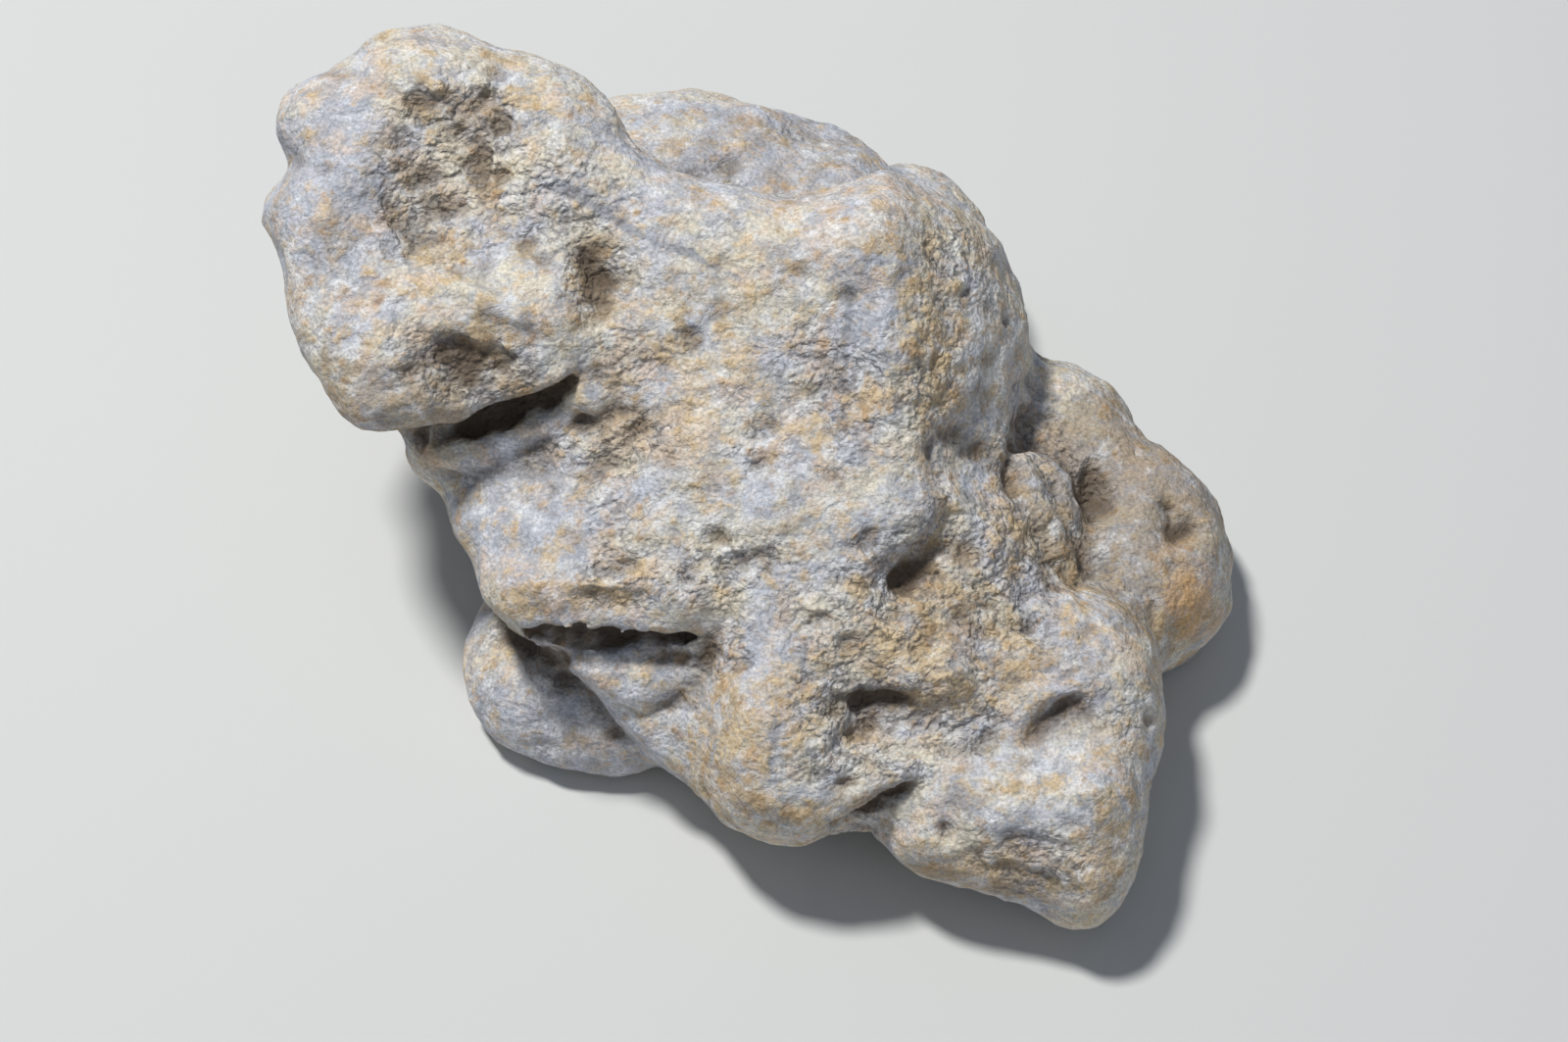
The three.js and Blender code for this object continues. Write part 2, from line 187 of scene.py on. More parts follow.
def finished_mesh(source, name):
    evaluated = source.evaluated_get(bpy.context.evaluated_depsgraph_get())
    mesh = bpy.data.meshes.new_from_object(evaluated)
    mesh.name = name
    return mesh


def replace_mesh(piece, mesh):
    old = piece.data
    piece.modifiers.clear()
    piece.data = mesh
    bpy.data.meshes.remove(old)


def rounded_body():
    mesh = cad_stone.data.copy()
    mesh.materials.clear()
    body = bmesh.new()
    body.from_mesh(mesh)
    bmesh.ops.remove_doubles(body, verts=body.verts, dist=WELD)
    body.to_mesh(mesh)
    body.free()
    piece = bpy.data.objects.new("stone_skin", mesh)
    bpy.context.scene.collection.objects.link(piece)
    rounding = piece.modifiers.new("rounding", "SUBSURF")
    rounding.levels = ROUNDING_LEVELS
    rounding.render_levels = ROUNDING_LEVELS
    replace_mesh(piece, finished_mesh(piece, "stone_skin"))
    return piece


def read_points(mesh):
    flat = np.empty(len(mesh.vertices) * 3)
    mesh.vertices.foreach_get("co", flat)
    return flat.reshape(-1, 3)


def write_points(mesh, points):
    mesh.vertices.foreach_set("co", np.ascontiguousarray(points).ravel())
    mesh.update()


stone = rounded_body()
print("the rounded body has", len(stone.data.polygons), "faces")

# %% [markdown]
# ## Pits and hollows
#
# Where a soft grain or a piece of crust has come out, weather has left a scoop: a steep wall on its upper
# side, which keeps the lamp's light out, and a floor that climbs gently out again. Each is written down
# as a place, two half sizes, a turn and a depth, and the body's points are pushed in by that much, square
# to the slope. Pushing points suits shallow forms best, because nothing has to be cut open for them.

# %% The scoops: across, upslope, half length, half width, turn in degrees, depth
SCOOPS = [
    # the rough hollow on top of the knob
    (-50.0, 40.7, 2.0, 1.3, 10, 0.9),
    (-51.8, 38.0, 2.2, 1.3, 15, 0.9),
    (-48.6, 48.3, 2.4, 1.2, 5, 0.8),
    (-45.4, 36.2, 2.4, 1.5, -10, 0.8),
    (-46.5, 43.6, 2.6, 1.5, 20, 0.7),
    (-42.6, 39.4, 2.2, 1.6, 30, 0.7),
    (-37.0, 44.2, 1.6, 2.2, 0, 1.0),
    (-35.3, 39.9, 1.6, 1.6, 0, 0.7),
    (-32.8, 35.7, 1.5, 1.5, 0, 0.7),
    # the crown
    (-46.8, 54.2, 2.4, 1.2, 5, 1.2),
    (-38.4, 54.4, 2.6, 1.6, 20, 1.4),
    (-37.5, 58.2, 2.0, 1.5, -20, 1.0),
    (-31.6, 50.8, 1.8, 2.2, 0, 1.0),
    (-27.0, 46.0, 1.6, 1.4, 0, 0.9),
    # the valley
    (-23.8, 30.5, 2.2, 2.0, 20, 1.4),
    (-27.8, 39.0, 1.6, 1.4, 0, 0.8),
    (-8.2, 32.8, 1.5, 1.2, 0, 0.8),
    (-11.9, 23.3, 1.9, 1.6, 0, 1.0),
    (-24.5, 16.0, 3.0, 1.8, 30, 1.2),
    (-19.0, 11.3, 2.4, 1.4, 30, 1.6),
    # the middle of the main slab
    (-2.4, 11.7, 3.0, 1.5, 0, 1.3),
    (-3.5, 6.6, 1.6, 1.5, 0, 1.3),
    (-12.8, -7.1, 0.9, 0.8, 0, 0.9),
    (-7.0, -6.0, 2.6, 1.4, 10, 0.9),
    (-1.8, -4.6, 2.2, 1.2, -10, 0.8),
    (-20.8, -6.6, 3.4, 1.6, 25, 1.0),
    (4.4, -12.7, 2.8, 1.0, 15, 1.1),
    (11.0, -2.6, 2.4, 2.0, 40, 1.0),
    # the apron
    (-9.3, -17.4, 1.6, 1.0, 0, 0.8),
    (-4.9, -18.5, 2.4, 1.2, 15, 1.4),
    (7.8, -16.0, 1.5, 2.0, 0, 1.3),
    (2.8, -20.2, 1.6, 1.2, 20, 0.8),
    (13.4, -12.0, 2.0, 1.6, 20, 1.0),
    (18.5, -13.0, 2.0, 1.4, 30, 1.0),
    (22.4, -12.6, 1.6, 1.8, 0, 1.0),
    (26.4, -11.0, 1.4, 1.8, 0, 0.9),
    (31.5, -14.3, 1.3, 2.4, 0, 1.2),
    (10.2, -26.8, 3.2, 1.6, 30, 1.2),
    (14.2, -28.4, 2.6, 1.2, 10, 0.9),
    # the nose
    (20.6, -39.6, 1.3, 1.9, 10, 1.6),
    (21.4, -37.0, 1.0, 1.6, -20, 1.0),
    (34.9, -26.2, 5.6, 4.4, 32, 2.1),
    (28.0, -44.6, 2.4, 1.0, 10, 0.9),
    (34.0, -45.6, 2.4, 1.0, 5, 0.9),
    (24.0, -42.6, 2.2, 1.0, 15, 0.8),
    # the shoulder's side and the right lobe
    (21.6, 11.0, 2.0, 2.4, 0, 1.2),
    (26.0, 9.0, 2.4, 2.4, 20, 1.4),
    (27.5, 20.5, 1.6, 3.0, 0, 1.2),
    (51.4, 1.6, 1.6, 2.2, 0, 1.6),
    (54.6, -1.5, 2.2, 2.0, 0, 1.6),
    (51.8, -6.3, 1.5, 1.5, 0, 1.2),
    (39.9, -7.0, 1.4, 1.4, 0, 1.2),
    (44.8, -9.9, 2.2, 1.6, 40, 1.2),
    (40.2, -14.0, 1.4, 1.4, 0, 1.0),
    # the lobes below the slab
    (-28.6, -21.3, 2.6, 1.6, 25, 1.4),
    (-21.8, -27.8, 2.6, 1.6, 25, 1.4),
    (-8.1, 48.7, 3.0, 1.8, 0, 1.2),
]
print(len(SCOOPS), "scoops written down, the deepest", max(scoop[5] for scoop in SCOOPS), "mm deep")

# %% Dig the scoops
STEEP_SHARE = 0.3
FACING_UP = 0.15
FACING_WIDTH = 0.3
NEARLY_ZERO = 1e-6


def smooth_step(value, low, high):
    share = np.clip((value - low) / (high - low), 0, 1)
    return share * share * (3 - 2 * share)


def slope_normals(mesh):
    flat = np.empty(len(mesh.vertices) * 3)
    mesh.vertices.foreach_get("normal", flat)
    return flat.reshape(-1, 3) @ SLOPE_AXES.T


def scoop_depth(places, scoop):
    """How far the scoop goes in at each place: steep below its upper rim, then gently out again."""
    across, upslope, half_length, half_width, turn, depth = scoop
    turned = math.radians(turn)
    dx, dy = places[:, 0] - across, places[:, 1] - upslope
    along = (dx * math.cos(turned) + dy * math.sin(turned)) / half_length
    down = (dx * math.sin(turned) - dy * math.cos(turned)) / half_width
    reach = np.sqrt(np.clip(1 - along**2, NEARLY_ZERO, 1))
    from_rim = (down / reach + 1) / 2
    wall = smooth_step(from_rim, 0, STEEP_SHARE)
    floor = 1 - smooth_step(from_rim, STEEP_SHARE, 1)
    return depth * reach * wall * floor * (np.abs(along) < 1)


def dig_scoops(piece):
    """Digs into the skin that faces up the slope's rise, and less and less where it turns away."""
    places = to_slope(read_points(piece.data))
    facing = smooth_step(slope_normals(piece.data)[:, 2], FACING_UP, FACING_UP + FACING_WIDTH)
    for scoop in SCOOPS:
        places[:, 2] -= scoop_depth(places, scoop) * facing
    write_points(piece.data, from_slope(places))


dig_scoops(stone)
print(len(SCOOPS), "scoops dug")

# %% [markdown]
# ## Edges, creases and ridges
#
# Where a flake has broken off or one layer of the stone ends on another, there is a line: a step with a
# crisp lip, a crease, or a ridge. A sculptor would draw such lines with a knife. Here each line is a
# route over the slope with a height and a reach, and every point of the skin near it moves by the
# line's profile: an edge stands high on the left of its route, and a crease is steep on its left. Noise
# shakes the routes a little, because no line on a stone is smooth. Its seed is given, because this noise
# would otherwise start from the clock, and shake them anew at every run.

# %% Edges, creases and ridges: height or depth, reach to each side, route of (across, upslope)
EDGES = {
    "lip of the wedge pit": (1.2, 1.8, [(12.5, -7.4), (14.4, -5.3), (16.9, -3.6), (19.5, -2.9)]),
    "smooth cheek of the knob": (1.6, 3.2, [(-40.0, 28.9), (-45.2, 32.4), (-50.2, 36.6),
         (-52.2, 41.5), (-53.4, 46.0)]),
    "right bank of the knob's trough": (1.4, 2.5, [(-32.8, 41.8), (-30.3, 38.6), (-28.5, 33.9),
         (-30.0, 28.9), (-34.2, 26.0)]),
    "crumbled foot of the slab": (1.0, 2.5, [(-30.0, -7.6), (-25.0, -5.4), (-20.0, -4.4),
         (-12.5, -5.6), (-5.0, -3.9), (3.7, -7.3)]),
    "rim of the slab over the lower lobe": (5.0, 5.5, [(-40.6, -7.1), (-37.9, -10.6),
         (-34.8, -14.2), (-32.2, -16.6), (-28.3, -17.5), (-25.9, -21.1), (-20.7, -27.7),
         (-15.2, -32.5), (-11.3, -36.4)]),
    "scarp across the apron": (2.4, 3.5, [(3.1, -30.2), (6.2, -27.5), (7.9, -25.2), (8.5, -22.4),
         (10.6, -21.2), (12.7, -20.8), (16.9, -22.6), (19.7, -24.1)]),
    "edge of the apron over the nose": (2.6, 3.2, [(6.5, -38.0), (8.7, -36.7), (13.1, -34.3),
         (17.5, -32.4), (21.4, -31.2)]),
    "flake of the knob": (2.8, 3.2, [(-50.8, 51.9), (-47.4, 52.6), (-44.3, 52.0), (-40.6, 50.0),
         (-38.2, 47.6), (-38.4, 41.9), (-37.8, 37.0)]),
    "ochre edge of the flank": (1.4, 2.5, [(39.1, -19.9), (38.2, -14.4), (37.4, -9.1), (36.2, -5.3),
         (33.8, -1.2)]),
    "shoulder over the right lobe": (3.0, 2.8, [(30.5, 11.7), (31.6, 17.0), (33.2, 21.9)]),
    "upper wall of the nose's hollow": (1.5, 3.2, [(30.5, -28.1), (31.5, -25.9), (33.2, -24.1),
         (35.7, -22.7), (39.0, -23.1)]),
    "upper edge of the brow's break": (1.8, 2.5, [(-45.4, 22.1), (-41.5, 22.7), (-37.5, 22.4),
         (-34.2, 21.1), (-31.8, 18.1)]),
    "recess in the slab's lip": (2.2, 2.2, [(-27.0, -10.1), (-25.0, -8.6), (-20.0, -8.6),
         (-16.7, -10.2)]),
    "upper edge of the knob's hollow": (1.8, 2.5, [(-47.1, 41.2), (-44.4, 41.9), (-41.0, 42.2)]),
}
CREASES = [
    (1.0, 1.4, [(-58.6, 59.5), (-54.5, 58.4), (-50.8, 55.6), (-47.4, 54.0), (-43.7, 53.3),
         (-39.7, 53.9), (-37.6, 53.7)]),
    (1.4, 1.2, [(-40.8, 46.6), (-39.0, 44.8), (-37.2, 43.2)]),
    (0.8, 0.9, [(-53.8, 38.9), (-51.1, 38.0), (-49.1, 39.1)]),
    (0.5, 0.8, [(-56.5, 41.6), (-53.5, 41.3), (-51.1, 41.8)]),
    (0.7, 0.9, [(-36.5, 41.3), (-35.4, 39.0), (-33.3, 39.0)]),
    (0.6, 0.8, [(-35.3, 35.5), (-33.2, 35.5), (-31.8, 36.7)]),
    (0.9, 1.2, [(-37.2, 33.9), (-38.7, 31.8), (-39.0, 28.9)]),
    (1.6, 1.5, [(-66.0, 48.2), (-63.2, 46.9), (-59.8, 45.1), (-56.6, 44.1)]),
    (0.8, 0.8, [(-67.2, 37.2), (-65.4, 34.7), (-63.3, 31.9)]),
    (0.9, 1.0, [(-33.0, 51.5), (-29.7, 49.1), (-25.3, 47.2), (-20.3, 46.1)]),
    (0.5, 0.8, [(-34.2, 47.2), (-28.4, 44.9), (-21.5, 43.1), (-13.9, 40.3)]),
    (0.8, 0.8, [(-27.2, 50.2), (-25.6, 48.2), (-22.3, 49.1)]),
    (1.5, 1.0, [(-22.7, 35.5), (-24.8, 34.2), (-25.5, 32.3), (-24.8, 29.8), (-23.9, 28.1)]),
    (1.0, 1.8, [(-28.9, 6.2), (-24.6, 7.2), (-21.4, 8.7), (-18.2, 11.8), (-15.1, 13.9), (-12.3, 15.8)]),
    (1.2, 0.8, [(-21.4, 9.8), (-20.2, 10.7), (-19.1, 12.0), (-17.3, 11.9)]),
    (1.3, 0.8, [(-24.2, 6.9), (-22.5, 7.9), (-20.9, 8.8)]),
    (0.9, 0.8, [(-17.1, 13.2), (-15.8, 14.1), (-13.6, 15.4)]),
    (0.9, 0.8, [(-12.6, 20.5), (-11.8, 22.7), (-10.4, 24.5)]),
    (1.0, 0.8, [(-4.4, 9.9), (-4.3, 11.9), (-3.0, 13.1), (0.0, 12.6)]),
    (1.0, 0.8, [(-4.2, 6.5), (-3.1, 7.9), (-1.0, 8.1)]),
    (1.0, 0.8, [(-13.7, -8.6), (-12.8, -7.6), (-11.9, -6.1)]),
    (0.9, 0.8, [(-10.0, -7.4), (-7.7, -5.9), (-5.0, -5.1), (-1.2, -6.1)]),
    (0.9, 0.8, [(-27.2, -11.8), (-26.5, -9.6), (-25.0, -8.6)]),
    (0.5, 0.8, [(-44.5, 0.9), (-43.2, -0.8), (-42.8, -3.1), (-40.6, -5.8)]),
    (1.0, 1.2, [(25.4, 29.0), (26.7, 27.3), (27.8, 25.9)]),
    (1.0, 1.0, [(17.9, 18.2), (19.5, 19.9), (21.1, 21.0)]),
    (0.8, 1.0, [(23.5, 6.7), (25.8, 6.0), (28.1, 6.6)]),
    (0.8, 1.5, [(22.2, 8.8), (24.0, 10.6), (25.7, 11.7)]),
    (0.9, 1.2, [(28.6, -3.7), (31.1, -8.8), (32.8, -15.0), (33.8, -19.9)]),
    (1.0, 0.8, [(31.7, -11.3), (30.6, -13.0), (31.8, -14.8)]),
    (1.2, 1.0, [(34.5, -20.4), (35.9, -18.9), (37.8, -19.3)]),
    (0.8, 1.0, [(37.5, -21.1), (39.0, -24.9), (41.9, -28.6)]),
    (0.9, 1.8, [(39.0, -0.1), (40.6, 3.3), (42.2, 6.8)]),
    (1.0, 1.0, [(34.9, 2.5), (36.9, 4.7), (38.0, 6.2)]),
    (1.2, 1.5, [(50.9, 2.5), (52.1, -0.5), (53.1, -3.4)]),
    (0.8, 0.8, [(53.7, -0.9), (54.3, -2.2), (54.8, -3.6)]),
    (0.9, 0.8, [(48.3, -9.0), (48.7, -12.9), (49.7, -16.1), (53.5, -18.0), (57.6, -16.5)]),
    (1.5, 0.8, [(19.5, -40.1), (20.2, -39.1), (20.8, -37.9)]),
    (1.1, 0.8, [(20.9, -33.8), (22.2, -35.6), (21.4, -37.5)]),
    (0.7, 0.8, [(24.2, -41.1), (28.5, -41.8), (32.8, -41.7), (37.7, -40.4), (40.5, -39.2)]),
    (0.6, 0.8, [(24.9, -43.4), (29.8, -44.4), (34.7, -44.3), (39.6, -42.7)]),
    (0.7, 0.8, [(19.3, -42.5), (23.0, -43.5), (26.4, -43.9)]),
    (0.5, 0.8, [(31.2, -46.7), (35.5, -47.4), (39.1, -46.4)]),
    (0.4, 0.8, [(28.7, -30.4), (32.0, -33.3), (34.0, -37.6)]),
    (0.5, 0.8, [(32.2, -28.4), (35.9, -32.7), (38.5, -38.1)]),
    (0.3, 0.8, [(26.0, -32.1), (29.7, -35.1), (31.2, -38.5)]),
    (1.0, 0.8, [(23.1, -32.4), (25.9, -30.4), (29.0, -28.6)]),
    (0.9, 0.8, [(-3.1, -33.7), (-1.2, -33.1), (0.7, -33.3)]),
    (0.8, 0.8, [(0.0, -35.2), (3.7, -36.5), (7.0, -36.0)]),
    (0.6, 0.8, [(-7.8, -32.4), (-6.0, -33.2), (-4.5, -33.4)]),
    (0.8, 0.8, [(-7.8, -15.8), (-6.2, -17.1), (-4.8, -18.6)]),
    (0.8, 0.8, [(-7.1, -20.2), (-5.5, -18.8), (-3.2, -17.1)]),
    (0.8, 0.8, [(-10.0, -13.8), (-8.8, -13.9), (-7.5, -13.5)]),
    (1.3, 0.8, [(5.8, -17.1), (7.0, -15.5), (8.2, -14.5)]),
    (0.8, 0.8, [(2.0, -13.1), (4.4, -12.2), (8.5, -12.3)]),
    (0.9, 1.0, [(13.1, -18.8), (15.5, -17.7), (18.4, -16.3)]),
    (0.9, 0.8, [(19.1, -12.4), (20.5, -11.6), (21.8, -10.9)]),
    (0.8, 0.9, [(-31.2, -20.7), (-29.2, -21.8), (-27.2, -22.2)]),
    (1.0, 1.0, [(-33.3, -29.3), (-30.7, -30.2), (-28.1, -30.4)]),
    (1.2, 1.0, [(-24.5, -30.1), (-22.7, -28.7), (-20.7, -27.3)]),
    (0.5, 0.9, [(-30.3, 44.3), (-24.0, 40.7), (-17.0, 36.6), (-10.1, 33.8)]),
    (0.5, 0.9, [(-18.7, 38.2), (-12.6, 35.3), (-5.0, 31.5)]),
    (0.5, 0.8, [(8.9, 34.5), (8.2, 28.8), (7.8, 21.4), (7.3, 13.8)]),
]
RIDGES = [
    (3.0, 4.0, [(-27.4, -19.3), (-20.4, -19.7), (-13.5, -19.4)]),
    (1.4, 2.0, [(-45.1, 30.8), (-40.0, 28.9), (-34.9, 26.0), (-29.3, 24.4)]),
    (0.6, 1.5, [(13.2, 41.1), (14.4, 35.2), (13.1, 28.8), (12.5, 21.3), (13.1, 15.1), (14.4, 10.1)]),
    (0.9, 1.0, [(19.5, 7.7), (23.4, 2.0), (25.9, -3.7), (26.8, -8.7)]),
    (0.9, 0.8, [(33.8, -1.4), (36.2, -5.3), (37.4, -9.1), (38.1, -13.8)]),
    (0.9, 0.8, [(39.4, 8.3), (40.0, 5.0), (39.5, 2.0)]),
    (0.6, 1.0, [(29.6, -21.2), (32.5, -22.3), (35.6, -21.5)]),
    (0.5, 1.2, [(41.2, -26.1), (43.6, -32.3), (44.1, -38.5)]),
    (1.3, 1.8, [(-44.6, 56.1), (-43.8, 56.1)]),
    (1.1, 1.4, [(-39.9, 56.3), (-39.3, 56.2)]),
    (1.1, 1.5, [(-36.8, 55.9), (-36.2, 55.8)]),
    (0.7, 1.2, [(-34.4, 10.1), (-33.1, 9.9)]),
    (0.8, 1.5, [(-26.0, -7.4), (-23.7, -7.4)]),
    (0.6, 1.2, [(-30.1, -11.9), (-28.9, -11.8)]),
    (0.6, 1.5, [(-20.0, -8.6), (-18.1, -9.3)]),
    (0.7, 1.8, [(-7.5, -29.8), (-5.6, -31.5)]),
    (0.6, 1.2, [(-63.8, 55.0), (-61.3, 56.9)]),
]
print(len(EDGES), "edges,", len(CREASES), "creases and", len(RIDGES), "ridges written down")

# %% How far each point lies from a route
FADE_SHARE = 0.3
FADE_BEFORE = -0.1


def route_distance(places, route):
    """The distance of each place from a route, positive on its left, and a fading towards both ends."""
    points = np.array(route, dtype=float)
    lengths = np.hypot(*np.diff(points, axis=0).T)
    nearest = np.full(len(places), np.inf)
    signed = np.zeros(len(places))
    passed = np.zeros(len(places))
    for start, end, length, before in zip(points, points[1:], lengths, np.cumsum(lengths) - lengths):
        direction = (end - start) / length
        offset = places[:, :2] - start
        along = np.clip(offset @ direction, 0, length)
        away = np.linalg.norm(offset - along[:, None] * direction, axis=1)
        left = np.sign(direction[0] * offset[:, 1] - direction[1] * offset[:, 0])
        closer = away < nearest
        nearest[closer] = away[closer]
        signed[closer] = (away * left)[closer]
        passed[closer] = (along + before)[closer]
    total = lengths.sum()
    fade = FADE_SHARE * total
    to_start, to_end = (smooth_step(away, FADE_BEFORE * fade, fade) for away in (passed, total - passed))
    return signed, to_start * to_end


# %% The profiles of the three kinds of line
LIP_WIDTH = 0.5
STEEP_SIDE = 0.6
GENTLE_SIDE = 1.4
CREASE_SHARPNESS = 1.4


def edge_lift(signed, height, reach):
    """A step: high on the left of its route, low on the right, dying away on both sides."""
    fall = np.clip(1 - np.abs(signed) / reach, 0, 1) ** 2
    return height / 2 * np.clip(signed / LIP_WIDTH, -1, 1) * fall


def crease_lift(signed, depth, half_width):
    """A crease with a steep wall on its left and a gentle slope on its right."""
    share = np.where(signed > 0, signed / (STEEP_SIDE * half_width), -signed / (GENTLE_SIDE * half_width))
    return -depth * np.clip(1 - share, 0, 1) ** CREASE_SHARPNESS


def ridge_lift(signed, height, half_width):
    """A ridge with a round back."""
    return height * np.clip(1 - (signed / half_width) ** 2, 0, 1) ** 2


# %% Shape the lines
WOBBLE_SIZE = 3.5
WOBBLE = 0.9
WOBBLE_SEED = 1795484033
SIDE_ON = -0.1
ROUTE_MARGIN = 1.5


def wobbled(places):
    """The places moved about a little, always in the same way, so that no route runs perfectly smooth."""
    noise.seed_set(WOBBLE_SEED)
    shift = [noise.noise_vector(Vector(place) / WOBBLE_SIZE) for place in places]
    return places + WOBBLE * np.array(shift)


def shape_by_hand(piece):
    places = to_slope(read_points(piece.data))
    crooked = wobbled(places)
    facing = smooth_step(slope_normals(piece.data)[:, 2], SIDE_ON, SIDE_ON + FACING_WIDTH)
    kinds = [(edge_lift, EDGES.values()), (crease_lift, CREASES), (ridge_lift, RIDGES)]
    for lift, forms in kinds:
        for height, reach, route in forms:
            margin = ROUTE_MARGIN * reach
            low, high = np.min(route, axis=0) - margin, np.max(route, axis=0) + margin
            near = ((crooked[:, :2] > low) & (crooked[:, :2] < high)).all(axis=1)
            signed, fading = route_distance(crooked[near], route)
            places[near, 2] += lift(signed, height, reach) * fading * facing[near]
    write_points(piece.data, from_slope(places))


shape_by_hand(stone)
print("the shaped body still has", len(stone.data.polygons), "faces: points moved, and nothing was cut")

# %% [markdown]
# ## Crevices, and the banks beside them
#
# On the real stone a hard band overhangs a soft one that has weathered back, which leaves a sharp lip
# with a dark slot under it. No smooth surface gives such an edge, so each slot is cut out. The cutter is
# a tube that follows the slot: its route and its half sizes are written down, and a small tree of
# geometry nodes turns any such route into a rough, lumpy tube. One boolean then takes it away.
#
# Some ground has to be there before a slot can be cut into it: a full lip, a bank at a slot's end, the
# foot of a steep side. These are tubes of the same kind with calmer lumps, and the boolean joins them on.

# %% Tubes joined on first: across, upslope, rise, half width, half height
BULGES = {
    "bank at the end of the first slot": [
        (-28.5, 16.5, -4.6, 1.4, 1.4), (-26.5, 16.6, -4.9, 3.0, 2.6), (-23.5, 16.5, -5.6, 3.6, 3.0),
        (-20.5, 16.5, -6.5, 2.0, 2.0),
    ],
    "lip of the first ledge": [
        (-44, 12.9, -3.2, 0.8, 0.8), (-41, 14.2, -2.9, 1.3, 1.4), (-37, 16.2, -2.4, 1.6, 1.5),
        (-33, 17.4, -2.0, 1.7, 1.5), (-30.2, 18.4, -1.8, 1.6, 1.5), (-27.5, 19.6, -1.6, 1.2, 1.2),
    ],
    "floor below the first ledge": [
        (-47, 8.6, -13, 1.5, 1.5), (-43, 10, -11, 4, 3.6), (-38, 11.2, -10.2, 4.5, 3.8),
        (-33, 12.8, -9.2, 4, 3.4), (-29, 14, -7.6, 3, 2.8), (-25.5, 15, -6.4, 1.5, 1.5),
    ],
    "foot of the shoulder": [
        (33.0, 9, -24, 2, 2.5), (33.6, 5.5, -23.6, 4.5, 5), (34.4, 1.5, -22.6, 5.5, 6),
        (35.4, -2.5, -20.6, 5, 5.6), (36.6, -6, -18, 3, 3.4),
    ],
    "side of the shoulder": [
        (30.5, 8.5, -19, 2, 2.2), (31.2, 5, -17.6, 3.2, 3.2), (32.4, 1, -15.6, 3.4, 3.4),
        (34.2, -2.2, -16.0, 3.6, 3.6), (36.4, -5.5, -16.0, 3.2, 3.2), (38, -8.5, -15.0, 1.5, 1.5),
    ],
    "floor of the wedge pit": [
        (18.8, -4.5, -4.8, 1.2, 1.4), (20.6, -5.2, -5.0, 2.0, 2.2), (22.6, -5.8, -5.0, 1.4, 1.6),
    ],
    "apron below the second ledge": [
        (-27.5, -17.6, -9.4, 1.8, 2.2), (-24, -19.0, -9.4, 2.8, 3.0), (-19.5, -20.2, -9.0, 4.2, 3.4),
        (-15.5, -19.8, -8.2, 4.0, 3.0), (-12, -19.2, -7.0, 3.2, 2.8), (-8.5, -18.6, -5.8, 2.6, 2.4),
        (-6, -18, -4.8, 1.2, 1.2),
    ],
}
print("to join on:", ", ".join(BULGES))

# %% Tubes cut away after them, by the same five numbers
CREVICES = {
    "slot under the first ledge": [
        (-50, 11.6, -8.6, 1.2, 1.2), (-45, 12.0, -7.4, 2.2, 2.6), (-40, 13.4, -6.4, 2.6, 3.0),
        (-35, 15.0, -5.6, 2.6, 2.8), (-31, 16.4, -4.6, 2.0, 2.0), (-28, 17.8, -3.2, 1.0, 1.2),
        (-26.4, 18.6, -2.2, 0.4, 0.5),
    ],
    "slot under the second ledge": [
        (-33.5, -14.8, -7.6, 2.2, 3.6), (-29, -14.5, -6.2, 2.3, 3.8), (-24, -14.4, -5.2, 2.3, 3.3),
        (-19, -14.5, -4.6, 2.3, 2.9), (-14, -14.2, -3.6, 1.9, 2.2), (-10.8, -14.0, -2.4, 0.7, 0.9),
    ],
    "back of the second slot": [
        (-33, -12.6, -8.4, 2.0, 1.6), (-28, -12.2, -6.8, 3.0, 2.0), (-22, -12.0, -5.4, 3.0, 1.9),
        (-16, -12.2, -4.4, 2.2, 1.5),
    ],
    "wedge pit": [
        (13.4, -8.4, 0.0, 0.5, 0.7), (14.8, -7.6, -1.2, 1.4, 1.7), (16.4, -7.0, -1.9, 1.2, 1.6),
        (18.0, -6.4, -2.2, 0.5, 0.7),
    ],
    "crease over the nose": [
        (5.6, -38.8, -0.6, 1.0, 1.4), (8.5, -37.4, -0.8, 1.3, 1.9), (12.8, -35.3, -0.4, 1.2, 1.6),
        (16.5, -33.2, 1.0, 0.8, 1.0), (18.8, -31.8, 2.2, 0.4, 0.5),
    ],
    "upper slit of the brow": [
        (-46.2, 20.2, 1.6, 0.4, 0.6), (-44.2, 21.4, 0.8, 0.9, 1.3), (-41.8, 22.2, 0.2, 0.6, 0.8),
    ],
    "lower slit of the brow": [
        (-51.4, 15.6, 0.6, 0.3, 0.5), (-49.9, 16.5, 0.9, 0.8, 1.3), (-48.2, 17.2, 1.4, 0.4, 0.6),
    ],
}
print("to cut away:", ", ".join(CREVICES))

# %% [markdown]
# ## Node trees made in a script
#
# In Blender a node tree is usually drawn by hand. In a script, every node is added, set and linked in
# words instead, which gets long. A few helpers keep it short: one adds a node and fills its inputs, one
# does sums, and one runs a finished tree on a piece and keeps what comes out as a plain mesh.

# %% Small helpers for building node trees
NOISE_MIDDLE = 0.5


def node_tree(name, inputs):
    """An empty geometry node tree with the named inputs and one geometry output."""
    tree = bpy.data.node_groups.new(name, "GeometryNodeTree")
    for label, kind, value in inputs:
        socket = tree.interface.new_socket(label, in_out="INPUT", socket_type=kind)
        if value is not None:
            socket.default_value = value
    tree.interface.new_socket("Geometry", in_out="OUTPUT", socket_type="NodeSocketGeometry")
    return tree, tree.nodes.new("NodeGroupInput"), tree.nodes.new("NodeGroupOutput")


